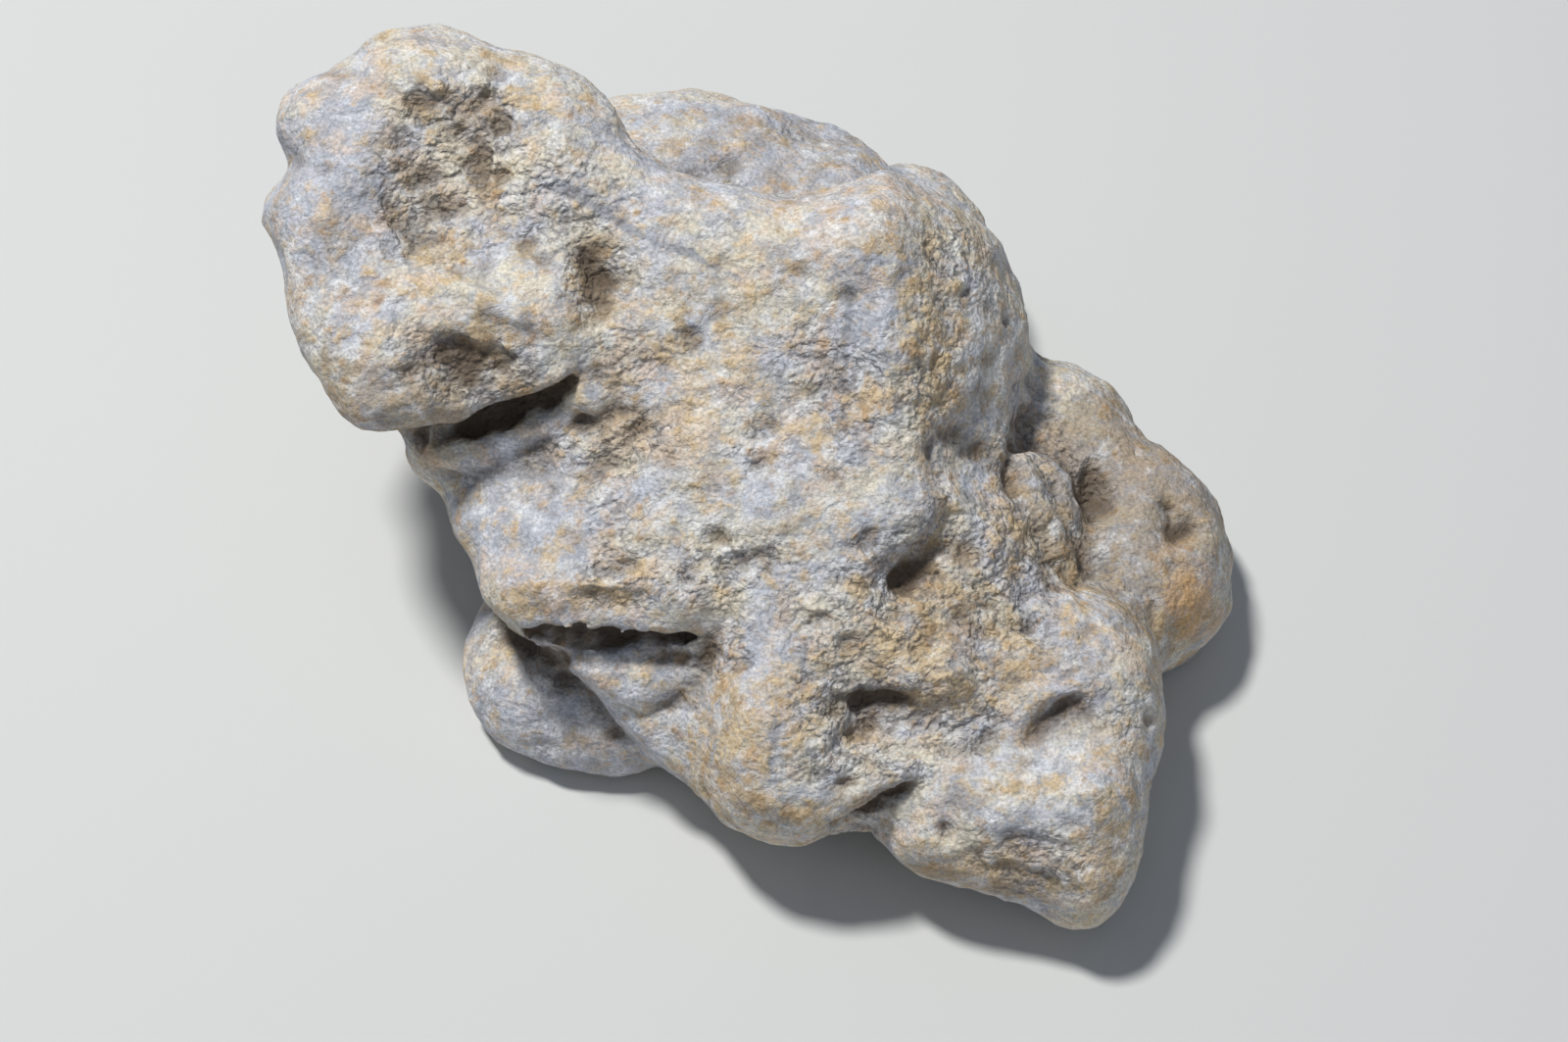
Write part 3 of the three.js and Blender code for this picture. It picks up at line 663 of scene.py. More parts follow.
def connect(tree, socket, value):
    """Links a socket to another node's output, or sets its own value."""
    if isinstance(value, bpy.types.NodeSocket):
        tree.links.new(value, socket)
    else:
        socket.default_value = value


def add_node(tree, kind, settings=None, links=None):
    """Adds a node, makes its settings, and fills the inputs that are named or numbered."""
    node = tree.nodes.new(kind)
    for key, value in (settings or {}).items():
        setattr(node, key, value)
    for key, value in (links or {}).items():
        connect(tree, node.inputs[key], value)
    return node


def maths(tree, operation, *values):
    """A sum of numbers."""
    node = add_node(tree, "ShaderNodeMath", {"operation": operation}, dict(enumerate(values)))
    return node.outputs[0]


def times(tree, *values):
    """All the values multiplied with each other, from left to right."""
    product = values[0]
    for value in values[1:]:
        product = maths(tree, "MULTIPLY", product, value)
    return product


def from_middle(tree, value):
    """A noise's value measured from its middle, so that it goes up and down alike."""
    return maths(tree, "SUBTRACT", value, NOISE_MIDDLE)


def vector_maths(tree, operation, *values):
    """A sum of directions or places."""
    node = add_node(tree, "ShaderNodeVectorMath", {"operation": operation}, dict(enumerate(values)))
    return node.outputs["Vector"]


def scaled(tree, vector, factor):
    """A place or direction made longer or shorter."""
    node = add_node(tree, "ShaderNodeVectorMath", {"operation": "SCALE"}, {0: vector, "Scale": factor})
    return node.outputs[0]


def bent_place(tree, place, size, amount):
    """The place, moved about by a noise of a given size, so that even cells come out crooked."""
    wander = add_node(tree, "ShaderNodeTexNoise", None, {"Vector": place, "Scale": 1 / size})
    shift = vector_maths(tree, "SUBTRACT", wander.outputs["Color"], (NOISE_MIDDLE,) * 3)
    return vector_maths(tree, "ADD", place, scaled(tree, shift, amount))


def run_tree(piece, tree, values):
    """Runs a tree on a piece with its inputs set, and leaves the result as the piece's plain mesh."""
    modifier = piece.modifiers.new(tree.name, "NODES")
    modifier.node_group = tree
    for item in tree.interface.items_tree:
        if item.in_out == "INPUT" and item.name in values:
            modifier[item.identifier] = values[item.name]
    replace_mesh(piece, finished_mesh(piece, piece.name))


# %% The tree that turns a route into a lumpy tube
STEP_LENGTH = 0.8
ROUND_SIDES = 16
TUBE_LUMP_SIZE = 1.9
TUBE_LUMP_HEIGHT = 1.2
TUBE_LUMP_DETAIL = 2.0


def stored(tree, name):
    """A number that the points carry."""
    node = add_node(tree, "GeometryNodeInputNamedAttribute", {"data_type": "FLOAT"}, {"Name": name})
    return node.outputs[0]


def tube_tree():
    """A route whose points carry two half sizes becomes a closed, lumpy tube of that oval section."""
    tree, given, result = node_tree(
        "lumpy_tube",
        [
            ("Geometry", "NodeSocketGeometry", None),
            ("Step length", "NodeSocketFloat", STEP_LENGTH),
            ("Sides", "NodeSocketInt", ROUND_SIDES),
            ("Lump size", "NodeSocketFloat", TUBE_LUMP_SIZE),
            ("Lump height", "NodeSocketFloat", TUBE_LUMP_HEIGHT),
        ],
    )
    route = add_node(tree, "GeometryNodeMeshToCurve", None, {"Mesh": given.outputs["Geometry"]})
    smooth = add_node(
        tree, "GeometryNodeCurveSplineType", {"spline_type": "CATMULL_ROM"}, {"Curve": route.outputs[0]}
    )
    steps = add_node(
        tree,
        "GeometryNodeResampleCurve",
        {"mode": "LENGTH"},
        {"Curve": smooth.outputs[0], "Length": given.outputs["Step length"]},
    )
    place = add_node(tree, "GeometryNodeInputPosition").outputs[0]
    kept = add_node(tree, "GeometryNodeCaptureAttribute", None, {"Geometry": steps.outputs[0]})
    kept.capture_items.new("VECTOR", "middle")
    tree.links.new(place, kept.inputs["middle"])
    ring = add_node(
        tree, "GeometryNodeCurvePrimitiveCircle", None, {"Resolution": given.outputs["Sides"], "Radius": 1.0}
    )
    tube = add_node(
        tree,
        "GeometryNodeCurveToMesh",
        None,
        {"Curve": kept.outputs[0], "Profile Curve": ring.outputs[0], "Fill Caps": True},
    )
    middle = kept.outputs["middle"]
    outward = vector_maths(tree, "SUBTRACT", place, middle)
    outward = add_node(tree, "ShaderNodeSeparateXYZ", None, {0: outward})
    width, height = stored(tree, "half_width"), stored(tree, "half_height")
    oval = add_node(
        tree,
        "ShaderNodeCombineXYZ",
        None,
        {
            "X": maths(tree, "MULTIPLY", outward.outputs["X"], width),
            "Y": maths(tree, "MULTIPLY", outward.outputs["Y"], width),
            "Z": maths(tree, "MULTIPLY", outward.outputs["Z"], height),
        },
    )
    scale = maths(tree, "DIVIDE", 1.0, given.outputs["Lump size"])
    links = {"Vector": place, "Scale": scale, "Detail": TUBE_LUMP_DETAIL}
    lumpy = from_middle(tree, add_node(tree, "ShaderNodeTexNoise", None, links).outputs[0])
    swell = maths(tree, "ADD", 1.0, times(tree, lumpy, given.outputs["Lump height"]))
    spot = vector_maths(tree, "ADD", middle, vector_maths(tree, "MULTIPLY", oval.outputs[0], swell))
    moved = add_node(tree, "GeometryNodeSetPosition", None, {"Geometry": tube.outputs[0], "Position": spot})
    tree.links.new(moved.outputs[0], result.inputs[0])
    return tree


# %% Join the banks on, then cut the crevices
CALM_LUMPS = 0.3


def route_piece(name, route):
    """A line of points that carry the tube's half sizes."""
    mesh = bpy.data.meshes.new(name)
    joints = [(i, i + 1) for i in range(len(route) - 1)]
    mesh.from_pydata([point[:3] for point in route], joints, [])
    for column, label in ((3, "half_width"), (4, "half_height")):
        layer = mesh.attributes.new(label, "FLOAT", "POINT")
        layer.data.foreach_set("value", [point[column] for point in route])
    piece = bpy.data.objects.new(name, mesh)
    bpy.context.scene.collection.objects.link(piece)
    return piece


def combine(piece, tube, operation):
    """Joins a tube to the piece, or cuts it away."""
    join = piece.modifiers.new("join", "BOOLEAN")
    join.operation = operation
    join.solver = "MANIFOLD"
    join.object = tube
    replace_mesh(piece, finished_mesh(piece, piece.name))


def work_routes(piece, routes, operation, lump_height):
    tree = tube_tree()
    for name, route in routes.items():
        tube = route_piece(name, route)
        run_tree(tube, tree, {"Lump height": lump_height})
        write_points(tube.data, from_slope(read_points(tube.data)))
        before = len(piece.data.polygons)
        combine(piece, tube, operation)
        tube_faces, after = len(tube.data.polygons), len(piece.data.polygons)
        print(f"{name}: {tube_faces} faces in the tube, stone {before} to {after}")
        bpy.data.objects.remove(tube)


work_routes(stone, BULGES, "UNION", CALM_LUMPS * TUBE_LUMP_HEIGHT)
work_routes(stone, CREVICES, "DIFFERENCE", TUBE_LUMP_HEIGHT)

# %% [markdown]
# ## An even skin
#
# Cutting leaves long thin faces, and fine relief needs points that lie evenly. A voxel remesh wraps the
# whole stone in an even net of small squares, 0.72 mm wide, and closes every seam on the way. Its size
# is the finest that keeps the piece under 200,000 triangles.

# %% Remesh
NET_SIZE = 0.72 * MM


def even_skin(piece):
    net = piece.modifiers.new("even_net", "REMESH")
    net.mode = "VOXEL"
    net.voxel_size = NET_SIZE
    replace_mesh(piece, finished_mesh(piece, piece.name))


even_skin(stone)
print("the even skin has", 2 * len(stone.data.polygons), "triangles")

# %% [markdown]
# ## Where the skin is rough and where it is worn
#
# The skin isn't the same all over. Rims and bulges have been rubbed smooth, while hollows and the ground
# around the pits are crumbly. So every point gets a number that says how deep it lies. It is measured
# against a copy of the skin whose points have each moved to the middle of their neighbours many times
# over. The more often they move, the wider are the hollows that the number tells of.

# %% How deep each point lies, measured against a smoothed copy of the skin
HOLLOW_STEPS = 12
WIDE_HOLLOW_STEPS = 110


def neighbour_mean(values, edges, counts):
    """The mean of each point's neighbours, which are the far ends of its edges."""
    total = np.zeros_like(values)
    for column in range(values.shape[1]):
        total[:, column] = np.bincount(edges[:, 0], values[edges[:, 1], column], len(values))
        total[:, column] += np.bincount(edges[:, 1], values[edges[:, 0], column], len(values))
    return total / counts[:, None]


def edge_list(mesh):
    flat = np.empty(len(mesh.edges) * 2, dtype=np.int32)
    mesh.edges.foreach_get("vertices", flat)
    edges = flat.reshape(-1, 2)
    return edges, np.maximum(np.bincount(edges.ravel(), minlength=len(mesh.vertices)), 1)


def depth_below(mesh, steps):
    """How far the smoothed skin passes above each point, in millimetres. Proud points are negative."""
    edges, counts = edge_list(mesh)
    points = read_points(mesh) / MM
    smooth = points.copy()
    for _ in range(steps):
        smooth = neighbour_mean(smooth, edges, counts)
    normals = slope_normals(mesh) @ SLOPE_AXES
    return ((smooth - points) * normals).sum(axis=1)


def store_values(mesh, name, values):
    layer = mesh.attributes.get(name) or mesh.attributes.new(name, "FLOAT", "POINT")
    layer.data.foreach_set("value", np.ascontiguousarray(values, dtype=np.float32))


sunk = depth_below(stone.data, WIDE_HOLLOW_STEPS)
print("the deepest point lies", round(sunk.max(), 2), "mm below the smoothed skin")
print("the proudest stands", round(-sunk.min(), 2), "mm above it")

# %% [markdown]
# ## Patches
#
# Mineral stains and worn ground lie where water, iron and rubbing have been, which no general rule can tell.
# So each patch is written down as a soft oval on the slope: its place, its half sizes, its turn and its
# strength. A vein is an oval too, long and only a millimetre or two wide. The ovals only say roughly where,
# and noise breaks up their edges later on.
# Not every oval is a stain: the ovals in the slots and pits are painted shadow, some brown ovals paint
# shade, and some bluish and chalky ovals paint light onto whole sides.

# %% Patches by kind: across, upslope, half length, half width, turn in degrees, strength
PATCHES = {
    "crumbly": [
        (-46, 40, 9, 8, 0, 0.65), (-40, 54, 8, 5, -20, 0.8), (-39, 19, 8, 4.5, -15, 1.0),
        (-25, 31, 5, 6, 0, 0.7), (-21, 10, 11, 4, 10, 0.7), (-18, -8.5, 14, 3.5, 0, 0.8),
        (-4, 10, 6, 6, 0, 0.4), (16, -5, 11, 7, 20, 0.9), (12, -21, 12, 10, -20, 0.8),
        (20, 25, 6, 14, 0, 0.55), (31, -43, 11, 4.5, -5, 1.0), (30, -11, 7, 12, 0, 0.5),
        (-8, -17, 5, 3, 0, 0.7), (12, -30, 9, 4, 10, 0.7), (-5, -5, 8, 4, 0, 0.6),
        (-30, 48, 5, 8, 0, 0.4),
    ],
    "worn": [
        (-60, 42, 8, 16, 0, 0.9), (-36, -1, 10, 8, -10, 0.8), (-24, -21, 8, 7, -40, 0.9),
        (10, 41, 12, 4, 0, 0.6), (34, -33, 7, 6, 0, 0.7), (-52, 58, 8, 4, 10, 0.6),
        (-30, -28, 14, 12, 0, 0.7), (52, -8, 8, 12, 0, 0.7), (0, 50, 18, 6, 0, 0.6),
        (-52, 14, 6, 3, -20, 0.7), (-4, -36, 12, 3, -10, 0.5), (44, -46, 5, 8, 0, 0.6),
        (26, 20, 4, 10, 0, 0.4),
    ],
    "ochre": [
        (-42.5, 55.5, 5, 2.5, 0, 0.8), (-34.5, 54.5, 3, 2.5, 0, 0.9), (-24, 31, 4, 5, 20, 0.9),
        (-26, 43, 4, 2.5, -20, 0.5), (-38, 23, 7, 3, 10, 1.0), (-31, 17, 5, 1.5, 25, 0.8),
        (-56, 18, 4, 3, -30, 0.5), (-42, 0, 1.5, 4, 0, 0.6), (-26, 4, 3, 1.5, 30, 0.4),
        (-22, -9, 8, 2.5, 0, 0.8), (-33, -11, 5, 2, -20, 0.7), (-7, -22, 3, 8, 0, 0.9),
        (-1, -24, 7, 7, 0, 0.8), (1, -17, 3, 2, 0, 0.7), (-8, -32, 8, 5, -40, 0.9),
        (3, -38, 7, 3, 0, 0.8), (17, -13, 9, 7, 20, 1.0), (20, -21, 6, 3, 0, 1.0),
        (29, -18, 7, 5, 0, 0.8), (38, -9, 3, 9, 10, 1.0), (42, -37, 4, 8, 0, 0.7),
        (28, -36, 4, 4, 0, 0.5), (20, 22, 5, 10, 0, 0.9), (50, -12, 5, 4, 0, 1.0), (14, 36, 6, 5, 0, 0.4),
        (-10, 24, 8, 6, 0, 0.5), (5, 14, 8, 5, 20, 0.4), (30, 0, 4, 10, 0, 0.5), (-46, 34, 6, 4, 0, 0.5),
        (26, -45, 8, 3, -5, 0.6), (-40, 42, 4, 4, 0, 0.4),
    ],
    # partly painted cool light: the strong ovals on the knob's left cheek, the slab's left side and the
    # lower-left lobe tint them as sky light would; the rest are blue-grey mineral
    "bluish": [
        (-60, 44, 8, 16, 0, 1.0), (-35, 1, 11, 8, 0, 1.0), (-20, 41, 8, 5, -30, 0.6),
        (4, 16, 7, 12, 0, 0.6), (-26, -20, 10, 7, -40, 0.8), (-30, -28, 16, 12, 0, 1.0),
        (-3, -17, 6, 5, 0, 0.4), (11, -3, 4, 4, 30, 1.0), (10, 28, 4, 10, 10, 0.7),
        (0, 50, 20, 8, 0, 1.0), (26, 4, 4, 12, 0, 0.3), (15, -24, 8, 4, 0, 0.6), (34, -28, 6, 5, 0, 0.5),
        (48, 6, 8, 8, 0, 0.4), (-50, 30, 6, 6, 0, 0.4), (36, -20, 4, 10, 0, 0.5),
    ],
    "peach": [
        (12, 42, 11, 4, 0, 0.9), (2, 36, 9, 4, 20, 0.8), (-12, 14, 12, 8, 0, 0.7),
        (-34, -7, 8, 4, -10, 0.7), (-58, 56, 7, 4, 0, 0.5), (-44, 26, 10, 5, 0, 0.5),
        (50, 12, 8, 8, -40, 0.5), (-24, -27, 5, 3, -40, 0.5), (24, 32, 4, 10, -20, 0.5),
        (-50, 9, 5, 3, 0, 0.5),
    ],
    # painted shadow: ovals in the slots under the ledges, the wedge pit and other pits, darkened where shade
    # falls
    "painted_shadow": [
        (-38, 14.5, 14, 4.5, 8, 1.0), (-24, -15.5, 15, 4.5, 0, 1.0), (15.8, -7.2, 2.6, 2, 35, 1.0),
        (-39, 19.5, 3, 2.5, 0, 0.8), (-24.4, 32, 2.5, 5, 0, 0.6), (41.5, 2, 2, 4, 0, 0.35),
        (35, -25, 4, 3, 20, 0.3), (12, -22, 5, 2.5, 0, 0.6), (12, -35.5, 7, 2, 25, 0.6),
        (52, -1, 4, 4, 0, 0.5), (27, 10, 4, 4, 0, 0.4), (-44, 21, 3, 2, 20, 0.6),
    ],
    # partly painted shade: the large oval on the right lobe and the one in the second slot darken places
    # that lie in shade; the rest are brown stains
    "brown": [
        (-49, 42.5, 6, 5, 0, 0.35), (-38, 46, 2.5, 5, 20, 0.8), (-24.4, 32, 3, 6, 0, 0.9),
        (-41, 20, 7, 3.5, 10, 0.9), (20, -5, 7, 3, 25, 0.6), (12, -24, 7, 3.5, 0, 0.6),
        (-46, 11.5, 10, 3, 5, 0.9), (-45, 16.5, 13, 5, 8, 1.1), (-42, 53, 7, 2.5, 0, 0.8),
        (24, -36, 4, 3, 0, 0.4), (47, 3, 13, 16, 0, 1.5), (-2, 51, 16, 6, 0, 0.5),
        (26, -45, 12, 4, 0, 0.9), (38, -12, 3, 10, 10, 0.4), (27, 24, 4, 10, 0, 0.4),
        (-5, 8, 5, 4, 0, 0.3), (-20, 12, 6, 3, 30, 0.4), (-57, 20, 6, 3, -40, 0.6),
        (40, -34, 3, 8, 0, 0.4), (-33, -11.5, 4, 1.5, 0, 0.5), (0, -38, 7, 2, 0, 0.5),
        (35, -24, 4, 2.5, 15, 0.5), (13, -35, 6, 2, 25, 0.7), (-28.5, -14.9, 5, 1.4, -5, 1.4),
    ],
    "veins": [
        (7.9, 23.7, 10.4, 0.8, 85, 1.0), (-10.7, 33.4, 8.3, 0.9, -26, 1.0),
        (8.7, 32.4, 5.8, 0.7, 27, 0.8), (-27.8, 42.7, 4.8, 1.2, -20, 1.0),
        (-22.6, 39.3, 8.6, 1.0, -32, 1.0), (2.7, -18.9, 3.9, 0.7, 95, 0.9),
        (-1.3, -26.5, 6.0, 0.6, 86, 0.9), (36.3, -33.8, 5.2, 0.6, -53, 0.8),
        (32.5, -33.7, 3.4, 0.6, -64, 0.8),
    ],
    "amber": [
        (54.5, -10.5, 4.2, 6.0, 0, 1.0), (51.8, -3, 2, 3, 0, 0.5),
    ],
    # partly painted light: the large oval on the lower-left lobe lightens that lobe's shade, and the big
    # oval on the shoulder's right side lightens that side; the rest are chalky crust
    "chalky": [
        (-60, 30, 5, 8, 0, 0.7), (-36, 4, 8, 5, 0, 0.6), (0, 9, 9, 7, 0, 0.6), (4, 26, 6, 8, 0, 0.5),
        (-10, 0, 9, 5, 0, 0.5), (35, -31, 7, 5, -30, 0.9), (27, -37, 5, 4, 0, 0.6),
        (-9, -22, 4, 3, 0, 0.4), (-52, 22, 5, 4, 0, 0.5), (-15, 42, 10, 3, -20, 0.4),
        (14, -1, 3, 3, 0, 0.4), (26, 22, 5, 12, 0, 1.1), (-28, -27, 14, 10, 0, 0.9),
        (8, 40, 10, 4, 0, 0.5),
    ],
}
print("patches:", {kind: len(patches) for kind, patches in PATCHES.items()})

# %% Mark the skin with the patches
PATCH_SHARPNESS = 1.5
UPPER_SIDE = (-0.4, 0.2)


def patch_strength(places, patches):
    """The strongest patch at each place."""
    strongest = np.zeros(len(places))
    for across, upslope, half_length, half_width, turn, strength in patches:
        turned = math.radians(turn)
        dx, dy = places[:, 0] - across, places[:, 1] - upslope
        along = (dx * math.cos(turned) + dy * math.sin(turned)) / half_length
        aside = (dy * math.cos(turned) - dx * math.sin(turned)) / half_width
        strongest = np.maximum(strongest, strength * np.exp(-(along**2 + aside**2) ** PATCH_SHARPNESS))
    return strongest


def mark_skin(piece):
    """Stores each point's share in every kind of patch, and how deep it lies."""
    places = to_slope(read_points(piece.data))
    upper = smooth_step(slope_normals(piece.data)[:, 2], *UPPER_SIDE)
    for kind, patches in PATCHES.items():
        store_values(piece.data, kind, patch_strength(places, patches) * upper)
    store_values(piece.data, "sunk", sunk)


mark_skin(stone)
print("numbers stored on the skin:", ", ".join([*PATCHES, "sunk"]))

# %% [markdown]
# ## Relief
#
# Between the big lumps and the finest grain lies what a fingertip feels: wide swells, boulders, knobbly
# lumps with creases between them, granules as big as a pinhead, and pocks. All of it follows a rule and
# covers the stone from every side, which is work for geometry nodes. Every point moves along its normal
# by the sum of the five.
#
# Each of the five is a noise of its own size. Swells are plain noise. Boulders and granules are domes
# round the middles of crooked cells. Lumps are noise folded at its middle value, which leaves a crease
# along every fold. Pocks are cells too, of which only a few are dug. A number for the roughness of the
# ground gives the crumbly patches more of all this than the worn ones.

# %% The relief's sizes and heights, in metres
RELIEF_VALUES = {
    "Swell size": 9.0 * MM,
    "Swell height": 1.3 * MM,
    "Boulder size": 6.5 * MM,
    "Boulder height": 1.1 * MM,
    "Lump size": 3.8 * MM,
    "Lump height": 0.85 * MM,
    "Granule size": 2.2 * MM,
    "Granule height": 0.55 * MM,
    "Pock size": 3.6 * MM,
    "Pock depth": 1.0 * MM,
    "Pock share": 0.30,
    "Seed": 4.0,
}
BEDS = (0.65, 1.0, 1.0)
for kind in ("Swell", "Boulder", "Lump", "Granule", "Pock"):
    print(f"{kind.lower()}s are {RELIEF_VALUES[kind + ' size'] / MM:.1f} mm apart")


# %% Noise, cells and smooth ramps for any tree
def noise_at(tree, place, size, seed, detail=2.0, roughness=0.5):
    """Noise of a given size, between 0 and 1."""
    node = add_node(
        tree,
        "ShaderNodeTexNoise",
        {"noise_dimensions": "4D"},
        {
            "Vector": place,
            "W": seed,
            "Scale": maths(tree, "DIVIDE", 1.0, size),
            "Detail": detail,
            "Roughness": roughness,
        },
    )
    return node.outputs[0]


def cells_at(tree, place, size, seed, feature="F1"):
    """Cells of a given size, with each place's distance from the middle of its cell."""
    return add_node(
        tree,
        "ShaderNodeTexVoronoi",
        {"voronoi_dimensions": "4D", "feature": feature},
        {"Vector": place, "W": seed, "Scale": maths(tree, "DIVIDE", 1.0, size)},
    )


def ramp(tree, value, low, high, to_low=0.0, to_high=1.0):
    """A smooth rise from one number to another while the value goes from low to high."""
    node = add_node(
        tree,
        "ShaderNodeMapRange",
        {"interpolation_type": "SMOOTHSTEP"},
        {"Value": value, "From Min": low, "From Max": high, "To Min": to_low, "To Max": to_high},
    )
    return node.outputs["Result"]


# %% How rough the ground is
PATCHY_SIZE = 13 * MM
PATCHY_EDGE = (0.42, 0.62)
PATCHY_SHARE = 0.55
SUNK_SHARE = 0.25
WORN_SHARE = 0.7
ROUGH_RANGE = (-0.2, 1.0)


def ground_roughness(tree, place, seed):
    """From 0 to 1: more on crumbly patches and in hollows, less where the skin is proud or worn."""
    patchy = ramp(tree, noise_at(tree, place, PATCHY_SIZE, seed), *PATCHY_EDGE)
    rough = maths(tree, "ADD", times(tree, patchy, PATCHY_SHARE), stored(tree, "crumbly"))
    rough = maths(tree, "ADD", rough, times(tree, stored(tree, "sunk"), SUNK_SHARE))
    rough = maths(tree, "SUBTRACT", rough, times(tree, stored(tree, "worn"), WORN_SHARE))
    return ramp(tree, rough, *ROUGH_RANGE)


# %% Swells, boulders and lumps
SWELL_GAIN = 2.0
BOULDER_BEND = (5.0 * MM, 4.0 * MM)
BOULDER_RIM = 0.45
BOULDER_SHARES = (0.35, 1.2)
LUMP_DETAIL = (3.0, 0.55)
LUMP_GAIN = 4.0
LUMP_FOOT = 0.35
LUMP_SHARES = (0.3, 1.0)


def swells(tree, place, size):
    swell = from_middle(tree, noise_at(tree, place, size["Swell size"], size["Seed"]))
    return times(tree, swell, SWELL_GAIN, size["Swell height"])


def boulders(tree, bedded, size, rough):
    crooked = bent_place(tree, bedded, *BOULDER_BEND)
    away = cells_at(tree, crooked, size["Boulder size"], size["Seed"]).outputs["Distance"]
    dome = maths(tree, "SUBTRACT", BOULDER_RIM, away)
    return times(tree, dome, size["Boulder height"], ramp(tree, rough, 0.0, 1.0, *BOULDER_SHARES))


def lumps(tree, bedded, size, rough):
    billow = noise_at(tree, bedded, size["Lump size"], size["Seed"], *LUMP_DETAIL)
    billow = times(tree, maths(tree, "ABSOLUTE", from_middle(tree, billow)), LUMP_GAIN)
    billow = maths(tree, "SUBTRACT", billow, LUMP_FOOT)
    return times(tree, billow, size["Lump height"], ramp(tree, rough, 0.0, 1.0, *LUMP_SHARES))


# %% Granules and pocks
GRANULE_BEND = (3.0 * MM, 1.8 * MM)
GRANULE_RIM = 0.55
GRANULE_SHARES = (0.1, 0.9, 0.15, 1.0)
POCK_ANYWHERE = 0.25
POCK_WALL = (0.12, 0.5, 1.0, 0.0)


def granules(tree, bent, size, rough):
    away = cells_at(tree, bent, size["Granule size"], size["Seed"], "SMOOTH_F1").outputs["Distance"]
    dome = maths(tree, "SUBTRACT", GRANULE_RIM, away)
    return times(tree, dome, size["Granule height"], ramp(tree, rough, *GRANULE_SHARES))


def pocks(tree, bent, size, rough):
    """Each cell draws a number, and is dug if the draw is below the share that the ground allows."""
    cells = cells_at(tree, bent, size["Pock size"], size["Seed"])
    draw = add_node(tree, "ShaderNodeSeparateXYZ", None, {0: cells.outputs["Color"]}).outputs[0]
    share = times(tree, size["Pock share"], maths(tree, "ADD", rough, POCK_ANYWHERE))
    pit = ramp(tree, cells.outputs["Distance"], *POCK_WALL)
    return times(tree, pit, size["Pock depth"], maths(tree, "LESS_THAN", draw, share))


# %% The tree that raises the relief
FLOOR_RISE = (0.1 * MM, 2.0 * MM)


def relief_height(tree, place, size, rough):
    """The sum of the five, which dies away at the floor, so that the stone still stands on its flats."""
    bedded = vector_maths(tree, "MULTIPLY", place, BEDS)
    bent = bent_place(tree, bedded, *GRANULE_BEND)
    wide = maths(tree, "ADD", swells(tree, place, size), boulders(tree, bedded, size, rough))
    fine = maths(tree, "SUBTRACT", granules(tree, bent, size, rough), pocks(tree, bent, size, rough))
    height = maths(tree, "ADD", maths(tree, "ADD", wide, lumps(tree, bedded, size, rough)), fine)
    above = add_node(tree, "ShaderNodeSeparateXYZ", None, {0: place}).outputs["Z"]
    return times(tree, height, ramp(tree, above, *FLOOR_RISE))


def relief_tree(material):
    """Raises the relief, stores the roughness for the colours to read, and lays the material on."""
    inputs = [("Geometry", "NodeSocketGeometry", None)]
    inputs += [(name, "NodeSocketFloat", value) for name, value in RELIEF_VALUES.items()]
    tree, given, result = node_tree("stone_relief", inputs)
    size = given.outputs
    place = add_node(tree, "GeometryNodeInputPosition").outputs[0]
    normal = add_node(tree, "GeometryNodeInputNormal").outputs[0]
    rough = ground_roughness(tree, place, size["Seed"])
    offset = scaled(tree, normal, relief_height(tree, place, size, rough))
    moved = add_node(
        tree, "GeometryNodeSetPosition", None, {"Geometry": size["Geometry"], "Offset": offset}
    )
    told = add_node(
        tree,
        "GeometryNodeStoreNamedAttribute",
        {"data_type": "FLOAT", "domain": "POINT"},
        {"Geometry": moved.outputs[0], "Name": "rough", "Value": rough},
    )
    realized = add_node(tree, "GeometryNodeRealizeInstances", None, {"Geometry": told.outputs[0]})
    links = {"Geometry": realized.outputs[0], "Material": material}
    clad = add_node(tree, "GeometryNodeSetMaterial", None, links)
    tree.links.new(clad.outputs[0], result.inputs[0])
    return tree


# %% [markdown]
# ## The stone's material
#
# The crust is matte and pale: cream and lavender grey in patches a few millimetres wide, stained with ochre
# and peach, chalky in places, and darkened in the hollows with painted shade and some brown dirt. Paint on
# an image could show that from one side only, so the colours are made by noise in the stone's own space, and
# run on round every corner. One group of nodes makes blotches of any size, and the material uses it again
# and again with other numbers.

# %% A node group for blotches of any size
BLOTCH_INPUTS = {
    "Size": 5.0,
    "Detail": 5.0,
    "Roughness": 0.6,
    "Threshold": 0.5,
    "Softness": 0.1,
    "Push": 0.0,
    "Seed": 0.0,
}
SEED_STEP = 17.3


def add_sockets(group, way, kind, names):
    """New sockets on the outside of a group, going IN or OUT."""
    new_socket = group.interface.new_socket
    return [new_socket(name, in_out=way + "PUT", socket_type="NodeSocket" + kind) for name in names]


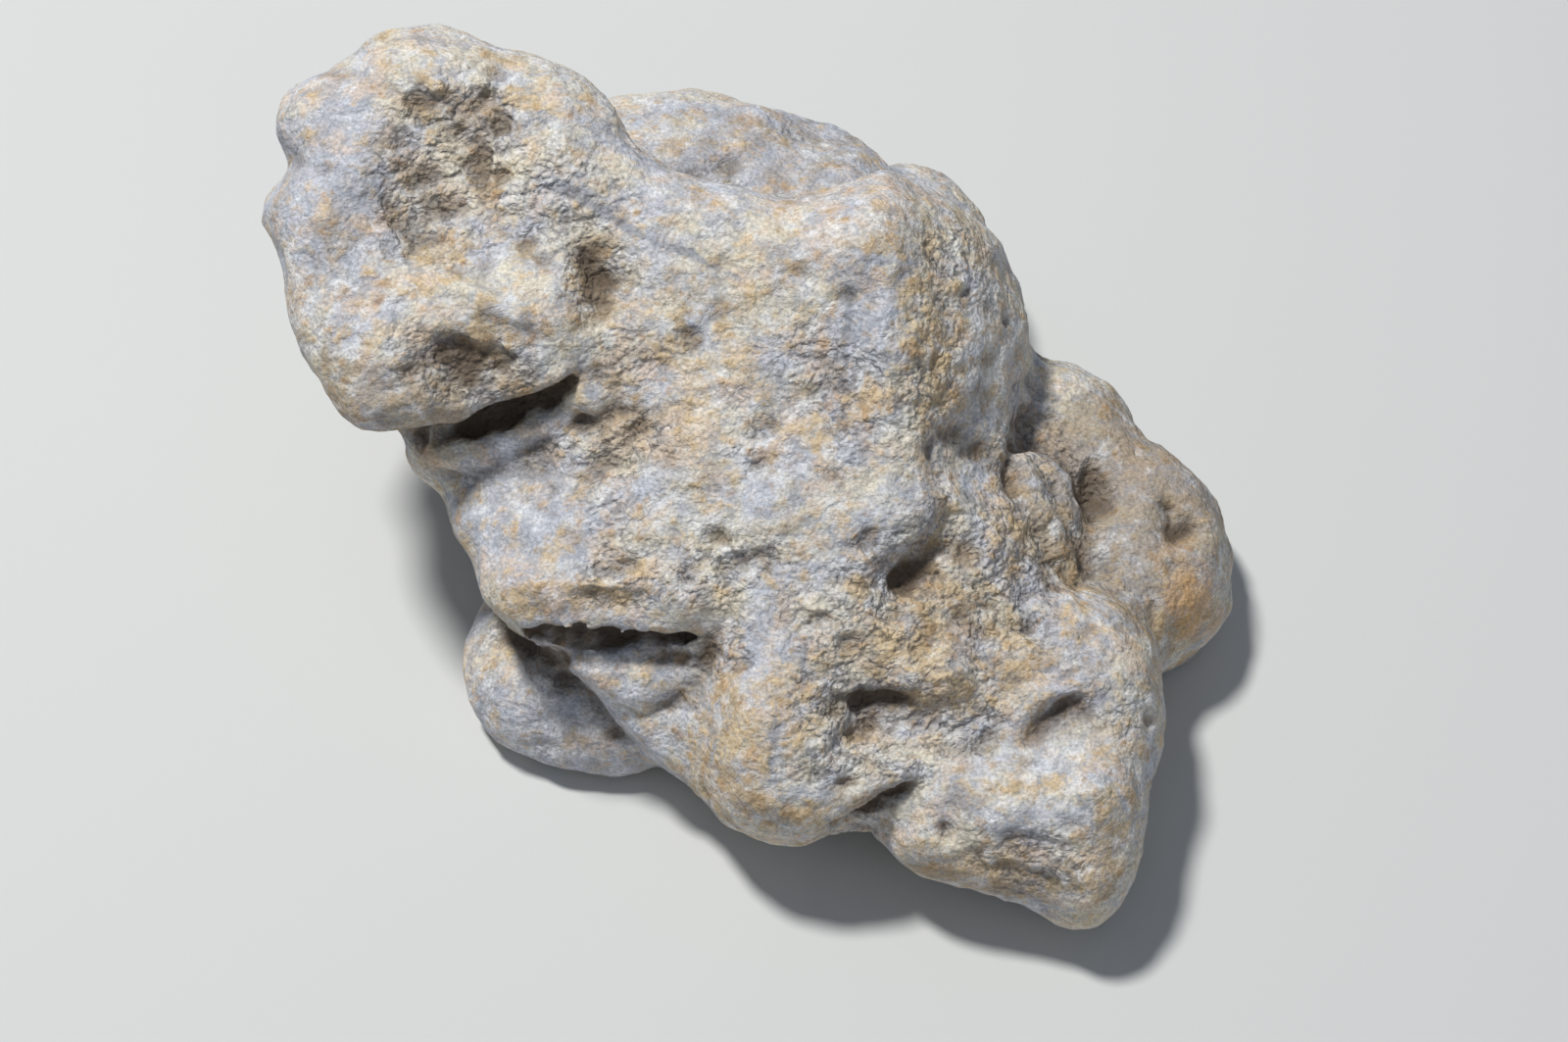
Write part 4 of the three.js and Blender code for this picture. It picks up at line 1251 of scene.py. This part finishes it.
def blotch_group():
    """Noise of a given size, in millimetres, cut off at a threshold into soft-edged blotches."""
    group = bpy.data.node_groups.new("blotches", "ShaderNodeTree")
    add_sockets(group, "IN", "Vector", ["Vector"])
    for socket, value in zip(add_sockets(group, "IN", "Float", BLOTCH_INPUTS), BLOTCH_INPUTS.values()):
        socket.default_value = value
    add_sockets(group, "OUT", "Float", ["Mask", "Value"])
    given = group.nodes.new("NodeGroupInput").outputs
    result = group.nodes.new("NodeGroupOutput")
    elsewhere = vector_maths(group, "ADD", given["Vector"], times(group, given["Seed"], SEED_STEP))
    links = {"Vector": elsewhere, "Scale": maths(group, "DIVIDE", 1.0, given["Size"])}
    links |= {name: given[name] for name in ("Detail", "Roughness")}
    cloud = add_node(group, "ShaderNodeTexNoise", None, links).outputs[0]
    pushed = maths(group, "ADD", cloud, given["Push"])
    low = maths(group, "SUBTRACT", given["Threshold"], given["Softness"])
    high = maths(group, "ADD", given["Threshold"], given["Softness"])
    group.links.new(ramp(group, pushed, low, high), result.inputs["Mask"])
    group.links.new(pushed, result.inputs["Value"])
    return group


# %% [markdown]
# ## Knolls, too fine for the mesh
#
# The net's squares are nearly a millimetre wide, which carries the lumps. The crust also has round knolls a
# millimetre to three wide, with creases between them that are far too sharp for the net. So these are made
# in the material as bump, which tilts the light without moving the skin. They are the relief's folded noise
# again, at two sizes. The same knolls steer the colours, because on a real crust iron stains what stands up
# and lies open to the weather, while grey mineral keeps to the creases. The creases are also darkened with
# painted shade.

# %% A node group for knolls with creases between them
KNOLL_SIZE = 3.4
KNOLL_STEPS = ((1.0, 0.54), (2.3, 0.46))
KNOLL_DETAIL = 2.0
KNOLL_ROUGHNESS = 0.5
KNOLL_GAIN = 6.0
KNOLL_STEEPNESS = 0.075
CREASE_RANGE = (0.12, 0.34)


def knoll_group():
    """The knolls' height, how far each place is up a knoll, and how deep it is in a crease."""
    group = bpy.data.node_groups.new("knolls", "ShaderNodeTree")
    add_sockets(group, "IN", "Vector", ["Vector"])
    add_sockets(group, "IN", "Float", ["Size"])[0].default_value = KNOLL_SIZE
    add_sockets(group, "OUT", "Float", ["Height", "Swelling", "Crease"])
    given = group.nodes.new("NodeGroupInput").outputs
    result = group.nodes.new("NodeGroupOutput")
    links = {"Vector": given["Vector"], "Detail": KNOLL_DETAIL, "Roughness": KNOLL_ROUGHNESS}
    height, swelling = 0.0, 0.0
    for finer, share in KNOLL_STEPS:
        scale = maths(group, "DIVIDE", finer, given["Size"])
        cloud = add_node(group, "ShaderNodeTexNoise", None, links | {"Scale": scale}).outputs[0]
        knoll = times(group, maths(group, "ABSOLUTE", from_middle(group, cloud)), KNOLL_GAIN)
        tall = times(group, maths(group, "DIVIDE", knoll, scale), KNOLL_STEEPNESS)
        height = maths(group, "ADD", tall, height)
        swelling = maths(group, "MULTIPLY_ADD", knoll, share, swelling)
    group.links.new(height, result.inputs["Height"])
    group.links.new(swelling, result.inputs["Swelling"])
    group.links.new(ramp(group, swelling, *CREASE_RANGE, 1.0, 0.0), result.inputs["Crease"])
    return group


# %% [markdown]
# ## The colours of the crust
#
# A cream ground lies under everything. Over it the stains are laid one after another, as thin washes of
# paint would be, and each keeps to its own blotches. Two things push a stain forward or hold it back:
# the patches of its kind, and the knolls. So lavender, chalk and slate sink into the creases, while
# peach, ochre and rust climb the knolls. The order matters, because a late stain covers the early ones.

# %% The colours
CREAM = (0.670, 0.612, 0.510)
LAVENDER = (0.520, 0.530, 0.590)
TAN = (0.335, 0.258, 0.178)
AMBER = (0.620, 0.370, 0.170)
SLATE = (0.300, 0.308, 0.345)
OCHRE = (0.600, 0.445, 0.262)
RUST = (0.430, 0.250, 0.110)
PEACH = (0.655, 0.500, 0.385)
CHALK = (0.800, 0.805, 0.830)
# dark brown for the painted shade in hollows and creases, and for some dirt
SHADE_AND_DIRT_BROWN = (0.120, 0.085, 0.058)
print("the ground is", CREAM, "and the dirt is", SHADE_AND_DIRT_BROWN)

# %% The stains, from the first to the last
# colour, kind of patch, its pull, the knolls' pull, share; then the blotches' size, detail, threshold
# and softness
STAINS = [
    # the bluish ovals also carry painted cool light on the left side of the stone
    (LAVENDER, "bluish", 0.22, -0.06, 1.0, 7.0, 8.0, 0.53, 0.13),
    (PEACH, "peach", 0.14, 0.06, 0.7, 5.0, 8.0, 0.57, 0.10),
    (OCHRE, "ochre", 0.19, 0.14, 0.85, 3.9, 5.0, 0.61, 0.12),
    # brown stain, and painted shade where the brown ovals darken the right lobe and the second slot
    (TAN, "brown", 0.25, 0.04, 0.72, 5.5, 8.0, 0.62, 0.11),
    # chalk, and painted light where the chalky ovals lighten the lower-left lobe
    (CHALK, "chalky", 0.12, -0.05, 0.6, 3.0, 8.0, 0.60, 0.09),
    (SLATE, "bluish", 0.08, -0.16, 0.5, 4.0, 8.0, 0.60, 0.08),
    (RUST, "ochre", 0.08, 0.10, 0.5, 2.4, 6.0, 0.64, 0.07),
    (SLATE, "veins", 0.44, -0.10, 0.85, 2.5, 5.0, 0.79, 0.14),
    (AMBER, "amber", 0.50, 0.02, 0.75, 4.0, 5.0, 0.78, 0.24),
]
widths = [stain[5] for stain in STAINS]
print(len(STAINS), "stains, in blotches from", min(widths), "to", max(widths), "mm wide")

# %% The steps that lay them over each other
SWELLING_MIDDLE = 0.45
STAIN_ROUGHNESS = 0.58


def group_node(tree, group, vector, values):
    """A copy of a shared group, with its named values set."""
    node = tree.nodes.new("ShaderNodeGroup")
    node.node_tree = group
    connect(tree, node.inputs["Vector"], vector)
    for label, value in values.items():
        connect(tree, node.inputs[label.capitalize()], value)
    return node.outputs


def mixed(tree, share, below, above, blend="MIX"):
    """Mixes one colour over another by a share."""
    node = add_node(tree, "ShaderNodeMix", {"data_type": "RGBA", "blend_type": blend}, {0: share})
    for socket, colour in ((6, below), (7, above)):
        connect(tree, node.inputs[socket], (*colour, 1) if isinstance(colour, tuple) else colour)
    return node.outputs[2]


def marked(tree, name, gain=1.0, offset=0.0):
    """A number stored on the skin, times a gain, plus an offset."""
    value = add_node(tree, "ShaderNodeAttribute", {"attribute_name": name}).outputs["Fac"]
    return maths(tree, "MULTIPLY_ADD", value, gain, offset)


def stained(tree, group, place, swelling):
    """The ground with all its stains."""
    colour = CREAM
    high = maths(tree, "SUBTRACT", swelling, SWELLING_MIDDLE)
    names = ("size", "detail", "threshold", "softness")
    for seed, (stain, patches, pull, knoll_pull, share, *blotches) in enumerate(STAINS):
        push = maths(tree, "MULTIPLY_ADD", high, knoll_pull, marked(tree, patches, pull))
        values = dict(zip(names, blotches)) | {"roughness": STAIN_ROUGHNESS, "seed": seed + 1.0}
        mask = group_node(tree, group, place, values | {"push": push})["Mask"]
        colour = mixed(tree, times(tree, mask, share), colour, stain)
    return colour


# %% [markdown]
# ## Grain, flecks and painted crease shade
#
# Three fine things are left. The bump gets grain and crumbs on top of the knolls, and the rougher the
# ground, the more of them. Flecks a fraction of a millimetre wide make the colour lighter and darker, as
# crystals do. The creases are darkened with painted shade, greyer on worn ground and browner on rough
# ground, and the painted shade and dirt of the hollows, which is measured on the mesh further down, comes
# over everything.

# %% The fine shape, as bump
BEDDING = (0.85, 1.0, 1.0)
BEDDING_BEND = (4.0, 1.6)
GRAIN = {"size": 1.3, "detail": 5.0, "roughness": 0.6, "seed": 11.0}
GRAIN_HEIGHT = 0.55 * MM
CRUMB_SIZE = 0.9
CRUMB_BEND = (1.5, 0.8)
CRUMB_HEIGHT = 0.30 * MM
CRUMB_SHARES = (0.0, 0.8, 0.30, 1.2)
KNOLL_SHARES = (0.0, 1.0, 0.6, 1.7)


def fine_height(tree, group, place, bedded, knolls, rough):
    """Knolls, grain and crumbs, in metres."""
    grain = group_node(tree, group, bedded, GRAIN)["Value"]
    links = {"Vector": bent_place(tree, place, *CRUMB_BEND), "Scale": 1 / CRUMB_SIZE}
    crumbs = add_node(tree, "ShaderNodeTexVoronoi", None, links).outputs["Distance"]
    crumbs = times(tree, crumbs, ramp(tree, rough, *CRUMB_SHARES))
    height = times(tree, knolls["Height"], MM, ramp(tree, rough, *KNOLL_SHARES))
    height = maths(tree, "MULTIPLY_ADD", grain, GRAIN_HEIGHT, height)
    return maths(tree, "MULTIPLY_ADD", crumbs, -CRUMB_HEIGHT, height)


# %% The fine colour, over the stains
FLECK = {"size": 0.45, "detail": 3.0, "roughness": 0.7, "seed": 13.0}
FLECK_SHADES = (0.3, 0.7, 0.74, 1.24)
CREASE_SHADE_SHARES = (0.1, 0.9, 0.20, 0.5)
BROWN_CREASE_SHADE = (0.1, 0.5)


def flecked_and_shaded(tree, group, place, colour, crease, rough):
    fleck = group_node(tree, group, place, FLECK)["Value"]
    colour = mixed(tree, 1.0, colour, ramp(tree, fleck, *FLECK_SHADES), "MULTIPLY")
    # painted shade in the knolls' creases: slate on worn ground, dark brown on rough ground
    crease_shade = times(tree, crease, ramp(tree, rough, *CREASE_SHADE_SHARES))
    colour = mixed(tree, crease_shade, colour, mixed(tree, ramp(tree, rough, *BROWN_CREASE_SHADE), SLATE, SHADE_AND_DIRT_BROWN))
    # painted shade and dirt of the hollows, measured on the mesh
    return mixed(tree, marked(tree, "shade_and_dirt"), colour, SHADE_AND_DIRT_BROWN)


# %% The whole material
MATTE = 0.85


def stone_material():
    material = bpy.data.materials.new("weathered_crust")
    material.use_nodes = True
    tree = material.node_tree
    shader = tree.nodes["Principled BSDF"].inputs
    group = blotch_group()
    metres = add_node(tree, "ShaderNodeTexCoord").outputs["Object"]
    place = scaled(tree, metres, 1 / MM)
    bedded = vector_maths(tree, "MULTIPLY", bent_place(tree, place, *BEDDING_BEND), BEDDING)
    rough = marked(tree, "rough")
    knolls = group_node(tree, knoll_group(), bedded, {"size": KNOLL_SIZE})
    colour = stained(tree, group, place, knolls["Swelling"])
    colour = flecked_and_shaded(tree, group, place, colour, knolls["Crease"], rough)
    height = fine_height(tree, group, place, bedded, knolls, rough)
    bump = {"Height": height, "Distance": 1.0, "Strength": 1.0}
    bump = add_node(tree, "ShaderNodeBump", None, bump)
    tree.links.new(colour, shader["Base Color"])
    tree.links.new(bump.outputs["Normal"], shader["Normal"])
    shader["Roughness"].default_value = MATTE
    return material


crust = stone_material()
print("the crust's material has", len(crust.node_tree.nodes), "nodes")

# %% [markdown]
# ## Raise the relief and paint shade into the hollows
#
# The relief's tree runs on the even skin and leaves it as a plain mesh. Only then is it known where the
# small hollows are, so their darkening is measured last. It is painted shade, with some dirt: the hollows
# are darkened and what stands proud is not, and the slots under the ledges get the darkest painted shadow.

# %% Raise the relief
run_tree(stone, relief_tree(crust), RELIEF_VALUES)
print("with its relief the skin reaches", round(read_points(stone.data)[:, 2].max() / MM, 1), "mm up")

# %% Paint shade, with some dirt, into the hollows
SMALL_HOLLOW = (0.03, 0.5)
WIDE_HOLLOW = (0.2, 1.6)
SHADOW_DEPTH = (0.1, 0.8)
UNDER_A_LEDGE = (-0.5, 0.1)
SMALL_HOLLOW_SHADE = 0.45
WIDE_HOLLOW_SHADE = 0.15
SHADOW_DARKNESS = 0.95
MOST_SHADE = 0.95


def hollow_shade_and_dirt(mesh):
    """Painted shade, with some dirt, in every small hollow, and the darkest painted shadow in the listed
    ovals.
    """
    small = smooth_step(depth_below(mesh, HOLLOW_STEPS), *SMALL_HOLLOW)
    depth = depth_below(mesh, WIDE_HOLLOW_STEPS)
    facing_down = smooth_step(-slope_normals(mesh)[:, 2], *UNDER_A_LEDGE)
    # painted shadow in the listed ovals, where the skin faces down under a ledge or lies deep
    painted_shadow = patch_strength(to_slope(read_points(mesh)), PATCHES["painted_shadow"])
    painted_shadow *= np.maximum(facing_down, smooth_step(depth, *SHADOW_DEPTH))
    # painted shade in small and wide hollows, plus the painted shadow, with some dirt
    shade_and_dirt = SMALL_HOLLOW_SHADE * small + WIDE_HOLLOW_SHADE * smooth_step(depth, *WIDE_HOLLOW) + SHADOW_DARKNESS * painted_shadow
    return np.clip(shade_and_dirt, 0, MOST_SHADE)


shade_and_dirt = hollow_shade_and_dirt(stone.data)
store_values(stone.data, "shade_and_dirt", shade_and_dirt)
for face in stone.data.polygons:
    face.use_smooth = True
print("dirt covers", round(100 * shade_and_dirt.mean(), 1), "% of the finished stone")
print("the finished stone has", 2 * len(stone.data.polygons), "triangles")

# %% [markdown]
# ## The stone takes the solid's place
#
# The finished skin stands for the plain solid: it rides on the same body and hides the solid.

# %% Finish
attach(stone, "root")
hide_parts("stone")
